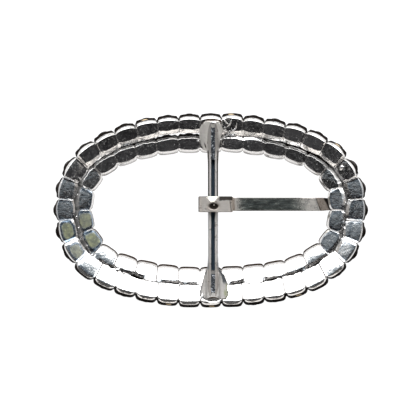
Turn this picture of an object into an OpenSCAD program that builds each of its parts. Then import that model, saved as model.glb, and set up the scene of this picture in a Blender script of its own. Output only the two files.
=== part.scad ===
// Oval belt buckle with two rows of cup-set rhinestones, a soldered crossbar and a swinging tongue.
// It lies face down: +Z is its back, the stones face the floor at Z 0, +X runs along the oval
// towards the tongue's tip, and the origin is on the floor under the middle of the oval.

/* [Oval frame] */
// Half length of the outer row, to the middle of its cups
outer_half_x = 32.4; // [31:0.1:34]
// Half height of the outer row, to the middle of its cups
outer_half_y = 18.5; // [18:0.1:20]
// How much shorter each half of the inner row is
row_step_x = 4.3; // [4.2:0.05:4.6]
// How much lower each half of the inner row is
row_step_y = 4.07; // [4:0.05:4.4]
// Squareness of the oval, where 2 is a plain ellipse
oval_power = 2.45; // [2.3:0.05:2.6]
// Radius of the bend that carries both ends back towards the wearer
arch_radius = 150; // [140:5:300]

/* [Cups] */
// Lean of the outer cups on the long sides, in degrees
outer_tilt = 28; // [24:1:30]
// Lean of the inner cups on the long sides, in degrees
inner_tilt = 20; // [16:1:22]
// Height of the outer row's backs above the inner row's on the long sides
outer_rise = 1.83; // [1.6:0.05:2]
// Depth of the groove between the rows below the feet of both
groove_depth = 0.65; // [0.3:0.05:0.8]

/* [Stones] */
// Diameter of one stone at its girdle
stone_d = 4; // [3.6:0.1:4]
// Diameter of the table, the flat in the middle of a stone's front
table_d = 2.2; // [1.8:0.1:2.6]
// Height of the crown, from the girdle to the table
crown_h = 0.85; // [0.6:0.05:1]
// Depth of the pointed back of a stone below its girdle
pavilion_h = 1.2; // [0.9:0.05:1.2]

/* [Crossbar] */
// Outer diameter of the rolled crossbar
bar_d = 2.26; // [2.1:0.02:2.4]
// Thickness of the sheet that the crossbar is rolled from
bar_wall = 0.42; // [0.3:0.02:0.5]
// Width of the open seam along the back of the crossbar
seam_w = 0.86; // [0.6:0.02:1]
// Distance of the crossbar from the middle of the oval
bar_x = 0.5; // [-1:0.1:1.5]

/* [Tongue] */
// Thickness of the strip that the tongue is bent from
strip_t = 0.6; // [0.5:0.05:0.65]
// Width of the head that wraps round the crossbar
head_w = 3.48; // [3:0.02:4]
// Width of the strip beyond the head
prong_w = 2.9; // [2.4:0.05:3]
// Place of the tongue along the crossbar
tongue_y = 1.26; // [-4:0.1:4]

/* [Hidden] */

// Both rows share 180 columns of the frame's skin: 36 cups of 5 columns and 30 cups of 6.
outer_cups = 36;
inner_cups = 30;
columns = 180;
outer_columns = columns / outer_cups;
inner_columns = columns / inner_cups;
outer_shift = 2;

// The outer row has a cup on each axis of the oval, and the inner row has a notch on the X axis.
inner_half_x = outer_half_x - row_step_x;
inner_half_y = outer_half_y - row_step_y;
outer_start = 0;
inner_start = 0.5;

// Heights in a cup's own frame: 0 on its flat back, and negative towards its stone.
girdle_top = -2.0;
girdle_t = 0.12;
girdle_low = girdle_top - girdle_t;
table_low = girdle_low - crown_h;
stone_point = girdle_top + pavilion_h;
stone_r = stone_d / 2;
table_r = table_d / 2;
cut_sides = 8;
kite_share = 0.45;
mid_r = (table_r + kite_share * (stone_r - table_r)) / cos(180 / cut_sides);
mid_low = table_low + kite_share * crown_h;

// The tables of the inner stones at the middle of both long sides touch the floor.
back_z = -table_low * cos(inner_tilt) + table_r * sin(inner_tilt);
bend_z = back_z;

// Feet, edges and lips of one cup, each as [outward, height] at the middle of the cup, at its
// shoulder and at the notch between cups, then how far along the shoulder stands, where 1 is
// the notch. The list starts in the groove between the rows and runs outward and under.
outer_profile = [
    // middle of cup    shoulder          notch            shoulder place
    [[-2.60, -0.66], [-2.52, -0.72], [-2.42, -0.90], 0.85],
    [[-1.50, 0.00], [-1.15, -0.04], [-1.32, -0.42], 0.82],
    [[1.50, 0.00], [1.15, -0.04], [1.02, -0.42], 0.82],
    [[2.00, -0.90], [1.86, -0.90], [1.46, -1.00], 0.86],
    [[2.00, -1.55], [1.80, -2.48], [1.50, -1.72], 0.74],
    [[1.62, -1.38], [1.50, -2.48], [1.20, -1.52], 0.72],
    [[0.80, -0.66], [0.80, -0.80], [0.80, -1.20], 0.86],
    [[-0.80, -0.66], [-0.80, -0.80], [-0.80, -1.20], 0.86],
    [[-1.62, -1.38], [-1.54, -2.48], [-1.20, -1.52], 0.86],
    [[-2.00, -1.55], [-1.84, -2.48], [-1.60, -1.62], 0.88],
];
inner_profile = [
    [[2.00, -1.55], [1.80, -2.48], [1.60, -1.62], 0.74],
    [[1.62, -1.38], [1.50, -2.48], [1.20, -1.52], 0.72],
    [[0.80, -0.66], [0.80, -0.80], [0.80, -1.20], 0.86],
    [[-0.80, -0.66], [-0.80, -0.80], [-0.80, -1.20], 0.86],
    [[-1.62, -1.38], [-1.54, -2.48], [-1.20, -1.52], 0.86],
    [[-2.00, -1.55], [-1.84, -2.48], [-1.60, -1.72], 0.88],
    [[-2.20, -0.65], [-2.08, -0.65], [-1.86, -0.80], 0.88],
    [[-1.40, 0.00], [-1.08, -0.04], [-1.28, -0.42], 0.82],
    [[1.40, 0.00], [1.08, -0.04], [0.98, -0.42], 0.82],
    [[1.72, -0.50], [1.62, -0.56], [1.32, -0.76], 0.86],
];

// Columns of one cup: its notch first, then its shoulders and the points between them.
outer_places = ["notch", "shoulder", -0.52, 0.52, "far shoulder"];
inner_places = ["notch", "shoulder", -0.52, 0, 0.52, "far shoulder"];

// The crossbar lies against the inner row. Its soldered ends are a little thicker, and rise with
// the bowl of the back.
bar_z = 4.1;
bar_r = bar_d / 2;
bar_straight = 12.8;
bar_end_rise = 10;
bar_end_l = 6.9;
end_overlap = 0.1;
solder_l = 4;
seam_floor = 0.35;
end_swell = 0.14;

// Leaf-shaped solder pads, as [side of the oval, reach to the left, reach to the right of the bar].
pads = [[1, 3.1, 2.0], [-1, 2.6, 3.2]];
pad_start = 12.5;
pad_l = 7.9;
pad_t = 0.8;
pad_sink = 0.35;
pad_slope = atan(outer_rise / row_step_y);
pad_steps = 10;
leaf_neck = bar_r * 0.7;
leaf_skew = 1.35;
leaf_fullness = 0.75;

// How far a cutting shape runs past what it cuts.
past = 1;

// The strip of the tongue in the plane of its swing, as [X, Z of its middle line, bend radius].
// It starts under the crossbar, wraps round its left side and steps down to the prong.
head_clear = 0.3;
head_reach_l = 2.92;
head_reach_r = 3.45;
wrap_z = bar_r + head_clear + strip_t / 2;
tip_floor = 0.06;
tongue_path = [
    [bar_x + head_reach_r - 0.7, bar_z - wrap_z, 0],
    [bar_x - head_reach_l, bar_z - wrap_z, 0.95],
    [bar_x - head_reach_l, bar_z + wrap_z, 0.95],
    [bar_x + head_reach_r + 0.15, bar_z + wrap_z, 0.7],
    [bar_x + head_reach_r + 1.0, bar_z + 0.05, 0.9],
    [20.6, 1.82, 14],
    [23.1, 1.66, 1.6],
    [26.6, tip_floor + strip_t / 2, 3],
    [30.6, tip_floor + strip_t / 2, 0],
];
shoulder_x = bar_x + head_reach_r + 0.45;
shoulder_run = 0.4;
tip_run = 6;
tip_blunt = 0.7;
tip_taper = 0.45;
tip_half = 0.45;
dimple_r = 1.3;
dimple_floor_r = 0.25;
dimple_h = 0.42;
dimple_shift = [-0.1, 0.15];

// A point of the oval at a polar angle, and the outward direction there.
function oval_point(half, a) =
    let (c = cos(a), s = sin(a))
    pow(pow(abs(c) / half.x, oval_power) + pow(abs(s) / half.y, oval_power), -1 / oval_power) * [c, s];

function oval_out(half, p) =
    let (g = [sign(p.x) * pow(abs(p.x) / half.x, oval_power - 1) / half.x,
              sign(p.y) * pow(abs(p.y) / half.y, oval_power - 1) / half.y])
    g / norm(g);

// Distance walked round the oval against the polar angle, one degree at a time.
function oval_walk(half) =
    [for (a = 0, run = 0; a <= 360; run = run + norm(oval_point(half, a + 1) - oval_point(half, a)), a = a + 1)
        [run, a]];

// The frame of one cup: its middle, and its directions along the row, outward and to the back.
function cup_frame(half, walk, turn, tilt, rise) =
    let (a = lookup(turn * walk[360][0], walk),
         p = oval_point(half, a),
         out = oval_out(half, p),
         side = out.y * out.y,
         lean = tilt * side)
    [[p.x, p.y, back_z + rise * side],
     [-out.y, out.x, 0],
     [cos(lean) * out.x, cos(lean) * out.y, sin(lean)],
     [-sin(lean) * out.x, -sin(lean) * out.y, cos(lean)]];

function row_frames(half, count, start, tilt, rise) =
    let (walk = oval_walk(half))
    [for (i = [0 : count - 1]) cup_frame(half, walk, (i + start) / count, tilt, rise)];

outer_frames = row_frames([outer_half_x, outer_half_y], outer_cups, outer_start, outer_tilt, outer_rise);
inner_frames = row_frames([inner_half_x, inner_half_y], inner_cups, inner_start, inner_tilt, 0);

// A place in a cup: along its row, where 1 is halfway to the next cup, outward, and height.
function cup_place(frames, i, along, spot) =
    let (n = len(frames),
         f = frames[(i + n) % n],
         next = frames[(i + 1) % n],
         last = frames[(i + n - 1) % n],
         half = norm(next[0] + spot[0] * next[2] - last[0] - spot[0] * last[2]) / 4)
    f[0] + along * half * f[1] + spot[0] * f[2] + spot[1] * f[3];

// Carries a point of the flat frame round the arch.
function arched(p) =
    let (a = p.x / arch_radius * 180 / PI,
         r = arch_radius - (p.z - bend_z))
    [r * sin(a), p.y, arch_radius + bend_z - r * cos(a)];

// One point of the skin: the j-th column of a row, on one line of its profile.
function skin_point(frames, places, line, j) =
    let (per_cup = len(places),
         i = floor(j / per_cup) % len(frames),
         place = places[j % per_cup])
    place == "notch"
        ? (cup_place(frames, i, -1, line[2]) + cup_place(frames, i - 1 + len(frames), 1, line[2])) / 2
        : place == "shoulder" ? cup_place(frames, i, -line[3], line[1])
        : place == "far shoulder" ? cup_place(frames, i, line[3], line[1])
        : cup_place(frames, i, place, line[0]);

// One closed loop across both rows, with the floor of the groove between them as its last point.
function skin_loop(k) =
    let (outer = [for (line = outer_profile)
                     skin_point(outer_frames, outer_places, line, (k + outer_shift) % columns)],
         inner = [for (line = inner_profile)
                     skin_point(inner_frames, inner_places, line, k)],
         groove = (outer[0] + inner[len(inner) - 1]) / 2 - [0, 0, groove_depth])
    [for (p = concat(outer, inner, [groove])) arched(p)];

// The two rows of cups as one closed skin, open in front where the stones sit.
module cup_rows() {
    loops = [for (k = [0 : columns - 1]) skin_loop(k)];
    n = len(loops[0]);
    polyhedron(
        points = [for (one = loops, p = one) p],
        faces = [for (k = [0 : columns - 1], v = [0 : n - 1], half = [0, 1])
            let (a = k * n + v,
                 b = k * n + (v + 1) % n,
                 c = ((k + 1) % columns) * n + (v + 1) % n,
                 d = ((k + 1) % columns) * n + v)
            half == 0 ? [a, c, b] : [a, d, c]],
        convexity = 12);
}

// A rolled end of the crossbar along Y, with its seam to the back and its far end full of solder.
module rolled_end() {
    seam = seam_w + end_swell;
    difference() {
        rotate([-90, 0, 0]) cylinder(h = bar_end_l, r = bar_r + end_swell, $fn = 48);
        translate([0, -past, 0]) rotate([-90, 0, 0])
            cylinder(h = bar_end_l + past - solder_l, r = bar_r + end_swell - bar_wall, $fn = 48);
        translate([-seam / 2, -past, seam_floor]) cube([seam, bar_end_l + 2 * past, bar_d]);
    }
}

// Half width of a leaf pad at a share of its length, blunt at its far end.
function leaf(share, reach) =
    leaf_neck + (reach - leaf_neck) * pow(sin(180 * pow(share, leaf_skew)), leaf_fullness);

// Places something on the sloping floor of a pad, a little below the backs of both rows.
module on_pad_floor(side) {
    translate([bar_x, side * pad_start, back_z - pad_sink + (pad_start - inner_half_y) * tan(pad_slope)])
        rotate([side * pad_slope, 0, 0])
        children();
}

module solder_pad(side, reach_l, reach_r) {
    left = [for (i = [0 : pad_steps]) [-leaf(i / pad_steps, reach_l), pad_l * i / pad_steps]];
    right = [for (i = [pad_steps : -1 : 0]) [leaf(i / pad_steps, reach_r), pad_l * i / pad_steps]];
    on_pad_floor(side)
        linear_extrude(pad_t)
        polygon([for (p = concat(left, right)) [p.x, side * p.y]]);
}

module crossbar() {
    translate([bar_x, -bar_straight, bar_z])
        difference() {
            rotate([-90, 0, 0]) cylinder(h = 2 * bar_straight, r = bar_r, $fn = 48);
            translate([0, -past, 0]) rotate([-90, 0, 0])
                cylinder(h = 2 * (bar_straight + past), r = bar_r - bar_wall, $fn = 48);
            translate([-seam_w / 2, -past, 0]) cube([seam_w, 2 * (bar_straight + past), bar_r + past]);
        }
    // Each end rises with the bowl and is flattened underneath, where it lies on the cups.
    for (side = [1, -1])
        difference() {
            translate([bar_x, side * (bar_straight - end_overlap), bar_z])
                rotate([bar_end_rise, 0, side > 0 ? 0 : 180])
                rolled_end();
            on_pad_floor(side)
                translate([-bar_d, side > 0 ? 0 : -2 * pad_l, -bar_d])
                cube([2 * bar_d, 2 * pad_l, bar_d]);
        }
}

module frame() {
    color("gainsboro") {
        cup_rows();
        crossbar();
        for (pad = pads) solder_pad(pad[0], pad[1], pad[2]);
    }
}

// The corners of a path rounded to their radii, as a list of points.
function rounded_corner(a, p, b, r) =
    let (u = (a - p) / norm(a - p),
         v = (b - p) / norm(b - p),
         open = acos(min(1, max(-1, u * v))),
         reach = r / tan(open / 2),
         middle = p + (u + v) / norm(u + v) * r / sin(open / 2),
         from = p + reach * u - middle,
         turn = (180 - open) * sign(u.x * v.y - u.y * v.x) * -1,
         steps = max(2, ceil(abs(turn) / 15)))
    [for (i = [0 : steps])
        let (w = turn * i / steps)
        middle + [from.x * cos(w) - from.y * sin(w), from.x * sin(w) + from.y * cos(w)]];

function rounded_path(path) =
    [for (i = [0 : len(path) - 1])
        let (p = [path[i][0], path[i][1]])
        each i == 0 || i == len(path) - 1 ? [p]
            : rounded_corner([path[i - 1][0], path[i - 1][1]], p, [path[i + 1][0], path[i + 1][1]], path[i][2])];

// The outline of a strip of one thickness along a path.
function strip_outline(path, t) =
    let (n = len(path),
         sides = [for (i = [0 : n - 1])
             let (before = path[i] - path[max(i - 1, 0)],
                  after = path[min(i + 1, n - 1)] - path[i],
                  u = i == 0 ? after / norm(after) : before / norm(before),
                  v = i == n - 1 ? u : after / norm(after),
                  m = (u + v) / norm(u + v))
             [-m.y, m.x] / (m * u)])
    concat([for (i = [0 : n - 1]) path[i] + sides[i] * t / 2],
           [for (i = [n - 1 : -1 : 0]) path[i] - sides[i] * t / 2]);

module tongue() {
    outline = strip_outline(rounded_path(tongue_path), strip_t);
    reach = tongue_path[len(tongue_path) - 1][0];
    trim = (head_w - prong_w) / 2;
    color("silver")
    difference() {
        translate([0, tongue_y + head_w / 2, 0])
            rotate([90, 0, 0]) linear_extrude(head_w) polygon(outline);
        // Beyond the head the strip is narrower, and its tip is trimmed to a blunt point.
        for (side = [1, -1])
            translate([0, tongue_y, -past])
                linear_extrude(bar_z + wrap_z + 2 * past)
                polygon([[shoulder_x, side * (prong_w / 2 + trim + past)],
                         [shoulder_x + shoulder_run, side * prong_w / 2],
                         [reach - tip_run, side * prong_w / 2],
                         [reach - tip_blunt, side * (prong_w / 2 - tip_taper)],
                         [reach + past, side * tip_half],
                         [reach + past, side * (prong_w / 2 + trim + past)]]);
        // The punch mark that keeps the head in place along the crossbar.
        translate([bar_x + dimple_shift.x, tongue_y + dimple_shift.y, bar_z + wrap_z + strip_t / 2 - dimple_h])
            cylinder(h = dimple_h + 0.01, r1 = dimple_floor_r, r2 = dimple_r, $fn = 36);
    }
}

// One cut stone: table, stars, kites, upper girdle facets, girdle and a pointed pavilion.
module cut_stone(f) {
    n = cut_sides;
    table = [for (i = [0 : n - 1]) let (a = 360 * i / n) [table_r * cos(a), table_r * sin(a), table_low]];
    mids = [for (i = [0 : n - 1]) let (a = 360 * (i + 0.5) / n) [mid_r * cos(a), mid_r * sin(a), mid_low]];
    low = [for (i = [0 : 2 * n - 1]) let (a = 180 * i / n) [stone_r * cos(a), stone_r * sin(a), girdle_low]];
    top = [for (i = [0 : 2 * n - 1]) let (a = 180 * i / n) [stone_r * cos(a), stone_r * sin(a), girdle_top]];
    own = concat(table, mids, low, top, [[0, 0, stone_point]]);
    m = n;
    g = 2 * n;
    t = 4 * n;
    point = 6 * n;
    polyhedron(
        points = [for (p = own) arched(f[0] + p.x * f[2] + p.y * f[1] + p.z * f[3])],
        faces = concat(
            [[for (i = [0 : n - 1]) i]],
            [for (i = [0 : n - 1]) [i, m + i, (i + 1) % n]],
            [for (i = [0 : n - 1]) [i, m + (i + n - 1) % n, g + 2 * i]],
            [for (i = [0 : n - 1]) [i, g + 2 * i, m + i]],
            [for (i = [0 : n - 1]) [m + i, g + 2 * i, g + 2 * i + 1]],
            [for (i = [0 : n - 1]) [m + i, g + 2 * i + 1, g + (2 * i + 2) % (2 * n)]],
            [for (i = [0 : 2 * n - 1]) [g + i, t + i, g + (i + 1) % (2 * n)]],
            [for (i = [0 : 2 * n - 1]) [g + (i + 1) % (2 * n), t + i, t + (i + 1) % (2 * n)]],
            [for (i = [0 : 2 * n - 1]) [t + i, point, t + (i + 1) % (2 * n)]]));
}

module outer_stones() {
    color("lightcyan") for (f = outer_frames) cut_stone(f);
}

module inner_stones() {
    color("lightcyan") for (f = inner_frames) cut_stone(f);
}

frame();
tongue();
outer_stones();
inner_stones();
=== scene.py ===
# %% [markdown]
# # A rhinestone buckle, seen from its back
#
# This notebook dresses one belt buckle that lies face down on a table. Two rows of square metal
# cups form an oval, each cup holds a cut stone that faces the table, and a rolled crossbar with a
# swinging tongue is soldered across the middle. The solid model of every piece is loaded first.
# It fixes all sizes, and the cells below give each piece its real surface.

import bpy
import bmesh
import numpy as np
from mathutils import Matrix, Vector
from mathutils.bvhtree import BVHTree


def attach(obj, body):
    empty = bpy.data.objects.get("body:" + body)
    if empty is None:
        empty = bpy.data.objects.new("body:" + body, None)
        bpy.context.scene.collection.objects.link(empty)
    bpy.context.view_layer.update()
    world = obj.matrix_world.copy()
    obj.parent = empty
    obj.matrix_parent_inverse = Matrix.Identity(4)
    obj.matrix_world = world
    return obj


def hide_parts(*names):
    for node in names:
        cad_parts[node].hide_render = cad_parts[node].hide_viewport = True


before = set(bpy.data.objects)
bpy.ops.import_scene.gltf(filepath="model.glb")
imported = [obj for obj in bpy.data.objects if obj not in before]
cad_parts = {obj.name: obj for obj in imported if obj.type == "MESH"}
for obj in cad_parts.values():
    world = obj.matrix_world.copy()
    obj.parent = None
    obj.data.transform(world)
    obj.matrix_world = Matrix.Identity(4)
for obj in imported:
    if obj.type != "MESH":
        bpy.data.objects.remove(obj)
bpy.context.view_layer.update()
MM = 0.001
print("nodes:", sorted(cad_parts))

# %% [markdown]
# ## The driving sizes
#
# The cups follow two squarish ovals, one inside the other. A superellipse is the usual formula for
# such an oval: with power 2 it is an ellipse, and a higher power makes it squarer. The numbers are
# those of the solid model, in millimetres, so a cup that is built here lands on its solid.

# %% Sizes of the oval and of its cups
OUTER_HALF = np.array([32.4, 18.5])
INNER_HALF = OUTER_HALF - np.array([4.3, 4.07])
OVAL_POWER = 2.45
ARCH_RADIUS = 150.0
OUTER_CUPS, INNER_CUPS = 36, 30
OUTER_TILT, INNER_TILT = 28.0, 20.0
OUTER_RISE = 1.83
STONE_R, TABLE_R = 2.0, 1.1
GIRDLE_TOP, GIRDLE_T = -2.0, 0.12
CROWN_H, PAVILION_H = 0.85, 1.2
TABLE_LOW = GIRDLE_TOP - GIRDLE_T - CROWN_H
BACK_Z = -TABLE_LOW * np.cos(np.radians(INNER_TILT)) + TABLE_R * np.sin(np.radians(INNER_TILT))
print("inner oval, half sizes:", INNER_HALF, "back of the inner row at", round(float(BACK_Z), 3))

# %% [markdown]
# ## Where each cup stands
#
# Each cup gets a small frame of its own: its middle, and three directions along the row, outward
# and towards the buckle's back. The cups are spaced by distance walked along the oval, because
# equal angles would crowd them at the ends. The cups on the long sides lean, which makes the front
# of the buckle domed, and the whole oval is bent round a gentle arch.

# %% Frames of the cups
def oval_point(half, degrees):
    c, s = np.cos(np.radians(degrees)), np.sin(np.radians(degrees))
    squareness = (np.abs(c) / half[0]) ** OVAL_POWER + (np.abs(s) / half[1]) ** OVAL_POWER
    return np.stack([c, s], axis=-1) * squareness[..., None] ** (-1 / OVAL_POWER)


def cup_frames(half, count, start, tilt, rise):
    degrees = np.arange(0, 361)
    track = oval_point(half, degrees)
    walked = np.concatenate([[0], np.cumsum(np.linalg.norm(np.diff(track, axis=0), axis=1))])
    turn = (np.arange(count) + start) / count
    p = oval_point(half, np.interp(turn * walked[-1], walked, degrees))
    g = np.sign(p) * (np.abs(p) / half) ** (OVAL_POWER - 1) / half
    out = g / np.linalg.norm(g, axis=1, keepdims=True)
    side = out[:, 1] ** 2
    lean = np.radians(tilt * side)
    flat = np.zeros(count)
    return {
        "middle": np.stack([p[:, 0], p[:, 1], BACK_Z + rise * side], axis=1),
        "along": np.stack([-out[:, 1], out[:, 0], flat], axis=1),
        "outward": np.stack([np.cos(lean) * out[:, 0], np.cos(lean) * out[:, 1], np.sin(lean)], axis=1),
        "back": np.stack([-np.sin(lean) * out[:, 0], -np.sin(lean) * out[:, 1], np.cos(lean)], axis=1),
    }


def arched(p):
    angle = p[..., 0] / ARCH_RADIUS
    r = ARCH_RADIUS - (p[..., 2] - BACK_Z)
    return np.stack([r * np.sin(angle), p[..., 1], ARCH_RADIUS + BACK_Z - r * np.cos(angle)], axis=-1)


outer_row = cup_frames(OUTER_HALF, OUTER_CUPS, 0.0, OUTER_TILT, OUTER_RISE)
inner_row = cup_frames(INNER_HALF, INNER_CUPS, 0.5, INNER_TILT, 0.0)
for name, row in (("outer", outer_row), ("inner", inner_row)):
    print("first", name, "cup at", row["middle"][0].round(2))

# %% [markdown]
# ## From arrays to meshes
#
# Most pieces here are sheets of points in rows and columns. Each could be drawn with Blender's own
# tools, but a table of points is changed and built again in a second. One helper turns such an
# array into a mesh and makes every face point outward. Work is done in millimetres, and the helper
# alone changes to metres. The others join the points of a sheet, a tube or a slab with faces.

# %% Mesh helpers
def add_mesh(name, points, faces, smooth=True):
    mesh = bpy.data.meshes.new(name)
    mesh.from_pydata((np.asarray(points, float).reshape(-1, 3) * MM).tolist(), [], faces)
    bm = bmesh.new()
    bm.from_mesh(mesh)
    bmesh.ops.recalc_face_normals(bm, faces=bm.faces)
    bm.to_mesh(mesh)
    bm.free()
    mesh.polygons.foreach_set("use_smooth", [smooth] * len(mesh.polygons))
    piece = bpy.data.objects.new(name, mesh)
    bpy.context.scene.collection.objects.link(piece)
    return piece


def grid_faces(rows, columns, wrap_rows, wrap_columns, first=0):
    faces = []
    for i in range(rows if wrap_rows else rows - 1):
        for j in range(columns if wrap_columns else columns - 1):
            a, b = i * columns + j, i * columns + (j + 1) % columns
            c, d = (i + 1) % rows * columns + (j + 1) % columns, (i + 1) % rows * columns + j
            faces.append((a + first, b + first, c + first, d + first))
    return faces


def tube_faces(rows, columns, first=0):
    """Faces of a tube whose rows are closed loops, with a cap over each end."""
    near, far = first, first + (rows - 1) * columns
    caps = [tuple(range(near, near + columns)), tuple(range(far, far + columns))]
    return grid_faces(rows, columns, False, True, first) + caps


def slab_faces(rows, columns):
    """Faces of a slab, where each row runs out along the top and back along the underside."""
    faces = grid_faces(rows, columns, False, True)
    for near in (0, (rows - 1) * columns):
        far = near + columns - 1
        faces += [(near + j, near + j + 1, far - 1 - j, far - j) for j in range(columns // 2 - 1)]
    return faces


print("a grid of 3 by 4 points has", len(grid_faces(3, 4, False, False)), "faces")

# %% [markdown]
# ## Soft steps and gentle waves
#
# Nothing on the real buckle changes at once: a stain fades out at its edge, and a flat dips a
# little. A step with soft ends and a sum of crossed waves serve for nearly all of that. Blender's
# noise would give the same kind of waves, but it takes one point at a time, and these take arrays.

# %% Soft steps and waves
def smoothstep(low, high, value):
    t = np.clip((value - low) / (high - low), 0, 1)
    return t * t * (3 - 2 * t)


def wavy(x, y, seed):
    """Smooth unevenness from a few crossed waves, between about -1 and 1."""
    rng = np.random.default_rng(seed)
    total = np.zeros(np.broadcast(x, y).shape)
    for k in range(6):
        angle, phase = rng.uniform(0, np.pi), rng.uniform(0, 2 * np.pi)
        wave = 1.6 * 1.5 ** k
        total = total + np.sin(wave * (x * np.cos(angle) + y * np.sin(angle)) + phase) * 1.3 ** -k
    return total / 3


print("halfway up a soft step:", float(smoothstep(0, 1, 0.5)))

# %% [markdown]
# ## The skin of a row of cups
#
# A cup of a real cast setting is a small square tray: a flat back with cut corners, bevels all round
# it, a wall that carries four claws, and a hollow seat for the pointed back of the stone. The skin is
# lofted through cross-sections. A short table gives the corners of a cross-section on the long sides
# and at the ends of the oval. It also says how far each corner draws in at a cup's shoulder and at the
# notch to the next cup. Small Bezier arcs round the corners, which gives the bevels crisp highlights.

# %% Cross-sections of both rows, as [outward, height]
OUTER_SECTION = [
    # long side        end             cut at shoulder  cut at notch    shoulder place, steps
    ([-2.16, -1.30], [-2.02, -1.30], [0.02, -0.05], [0.10, -0.15], 0.86, 3),
    ([-2.10, -0.20], [-2.06, -0.12], [0.02, -0.02], [0.05, -0.04], 0.86, 4),
    ([-1.15, 0.00], [-1.60, 0.00], [0.30, -0.02], [0.04, -0.18], 0.958, 14),
    ([1.60, 0.00], [1.46, 0.00], [-0.45, -0.02], [-0.50, -0.26], 0.955, 2),
    ([1.85, -0.27], [1.72, -0.46], [-0.54, -0.04], [-0.84, -0.50], 0.88, 3),
    ([2.04, -0.88], [1.82, -1.02], [-0.64, -0.06], [-1.05, -0.45], 0.88, 3),
    ([2.07, -1.84], [1.82, -1.78], [-0.60, -0.60], [-1.10, -0.10], 0.84, 1),
    ([1.90, -1.80], [1.72, -1.74], [-0.56, -0.64], [-1.02, -0.04], 0.82, 2),
    ([0.80, -0.66], [0.80, -0.66], [0.00, -0.14], [0.00, -0.54], 0.86, 2),
    ([-0.80, -0.66], [-0.80, -0.66], [0.00, -0.14], [0.00, -0.54], 0.86, 2),
    ([-1.64, -1.38], [-1.64, -1.38], [0.08, -1.06], [0.42, -0.16], 0.86, 1),
    ([-1.96, -1.55], [-1.96, -1.55], [0.14, -0.89], [0.38, -0.11], 0.88, 2),
]
INNER_SECTION = [
    ([1.94, -1.30], [1.75, -1.30], [-0.06, -0.05], [-0.30, -0.15], 0.86, 3),
    ([1.84, -0.46], [1.60, -0.46], [-0.16, -0.04], [-0.30, -0.22], 0.86, 2),
    ([1.42, 0.00], [1.22, 0.00], [-0.36, -0.02], [-0.26, -0.24], 0.95, 13),
    ([-1.15, 0.00], [-1.72, 0.00], [0.42, -0.02], [0.16, -0.24], 0.95, 3),
    ([-1.90, -0.50], [-1.98, -0.44], [0.18, -0.03], [0.40, -0.34], 0.87, 2),
    ([-2.18, -0.68], [-2.14, -0.66], [0.20, -0.03], [0.52, -0.30], 0.87, 3),
    ([-2.00, -1.50], [-2.00, -1.50], [0.16, -0.94], [0.50, -0.18], 0.88, 1),
    ([-1.66, -1.38], [-1.66, -1.38], [0.10, -1.06], [0.44, -0.16], 0.86, 2),
    ([-0.80, -0.66], [-0.80, -0.66], [0.00, -0.14], [0.00, -0.54], 0.86, 2),
    ([0.80, -0.66], [0.80, -0.66], [0.00, -0.14], [0.00, -0.54], 0.86, 2),
    ([1.64, -1.38], [1.64, -1.38], [-0.12, -1.06], [-0.42, -0.16], 0.76, 1),
    ([1.94, -1.50], [1.92, -1.50], [-0.14, -0.94], [-0.38, -0.16], 0.78, 2),
]
SECTIONS = {"outer": OUTER_SECTION, "inner": INNER_SECTION}
print("corners in a cross-section:", len(OUTER_SECTION))

# %% [markdown]
# ## Where the cross-sections stand
#
# Each cup is cut by 28 columns, and each column is one cross-section. They crowd towards the ends of
# the cup, because the form changes most at its shoulder and at the notch. Columns at even distances
# would need many more faces for a notch that is as crisp. A corner keeps its place along most of the
# cup and then draws in. The higher its power is, the later it starts to do so.

# %% Columns of one cup
HALF_COLUMNS = np.array([
    0, 0.22, 0.42, 0.56, 0.66, 0.74, 0.80, 0.845, 0.88, 0.905, 0.925, 0.945, 0.965, 0.985])
COLUMNS = np.concatenate([[-1], -HALF_COLUMNS[:0:-1], HALF_COLUMNS])
CORNER_POWER = {
    "outer": np.array([3.6, 3.6, 3.6, 2.8, 2.2, 2.0, 2.0, 2.0, 3.6, 3.6, 3.6, 3.6])[:, None],
    "inner": np.array([3.6, 3.6, 3.6, 3.4, 3.0, 3.0, 3.0, 3.6, 3.6, 3.6, 3.6, 3.6])[:, None],
}
LOW_SIDE_POWER = {"outer": 2.4, "inner": 1.0}
NOTCH_POWER = 1.1
CORNER_R = 0.07
CORNER_STEPS = 4
print("columns in one cup:", len(COLUMNS))

# %% [markdown]
# ## The groove between the rows
#
# On the real buckle solder has run into the groove between the rows, which stays open in places
# only, and below, the walls beside it are shallow. The solder could be a piece of its own, but then
# it would have to follow the edge of every cup. So the corners of the cups' sections move instead.
# The tables say where the groove is open, and how far each wall leans over it round the oval.

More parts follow.
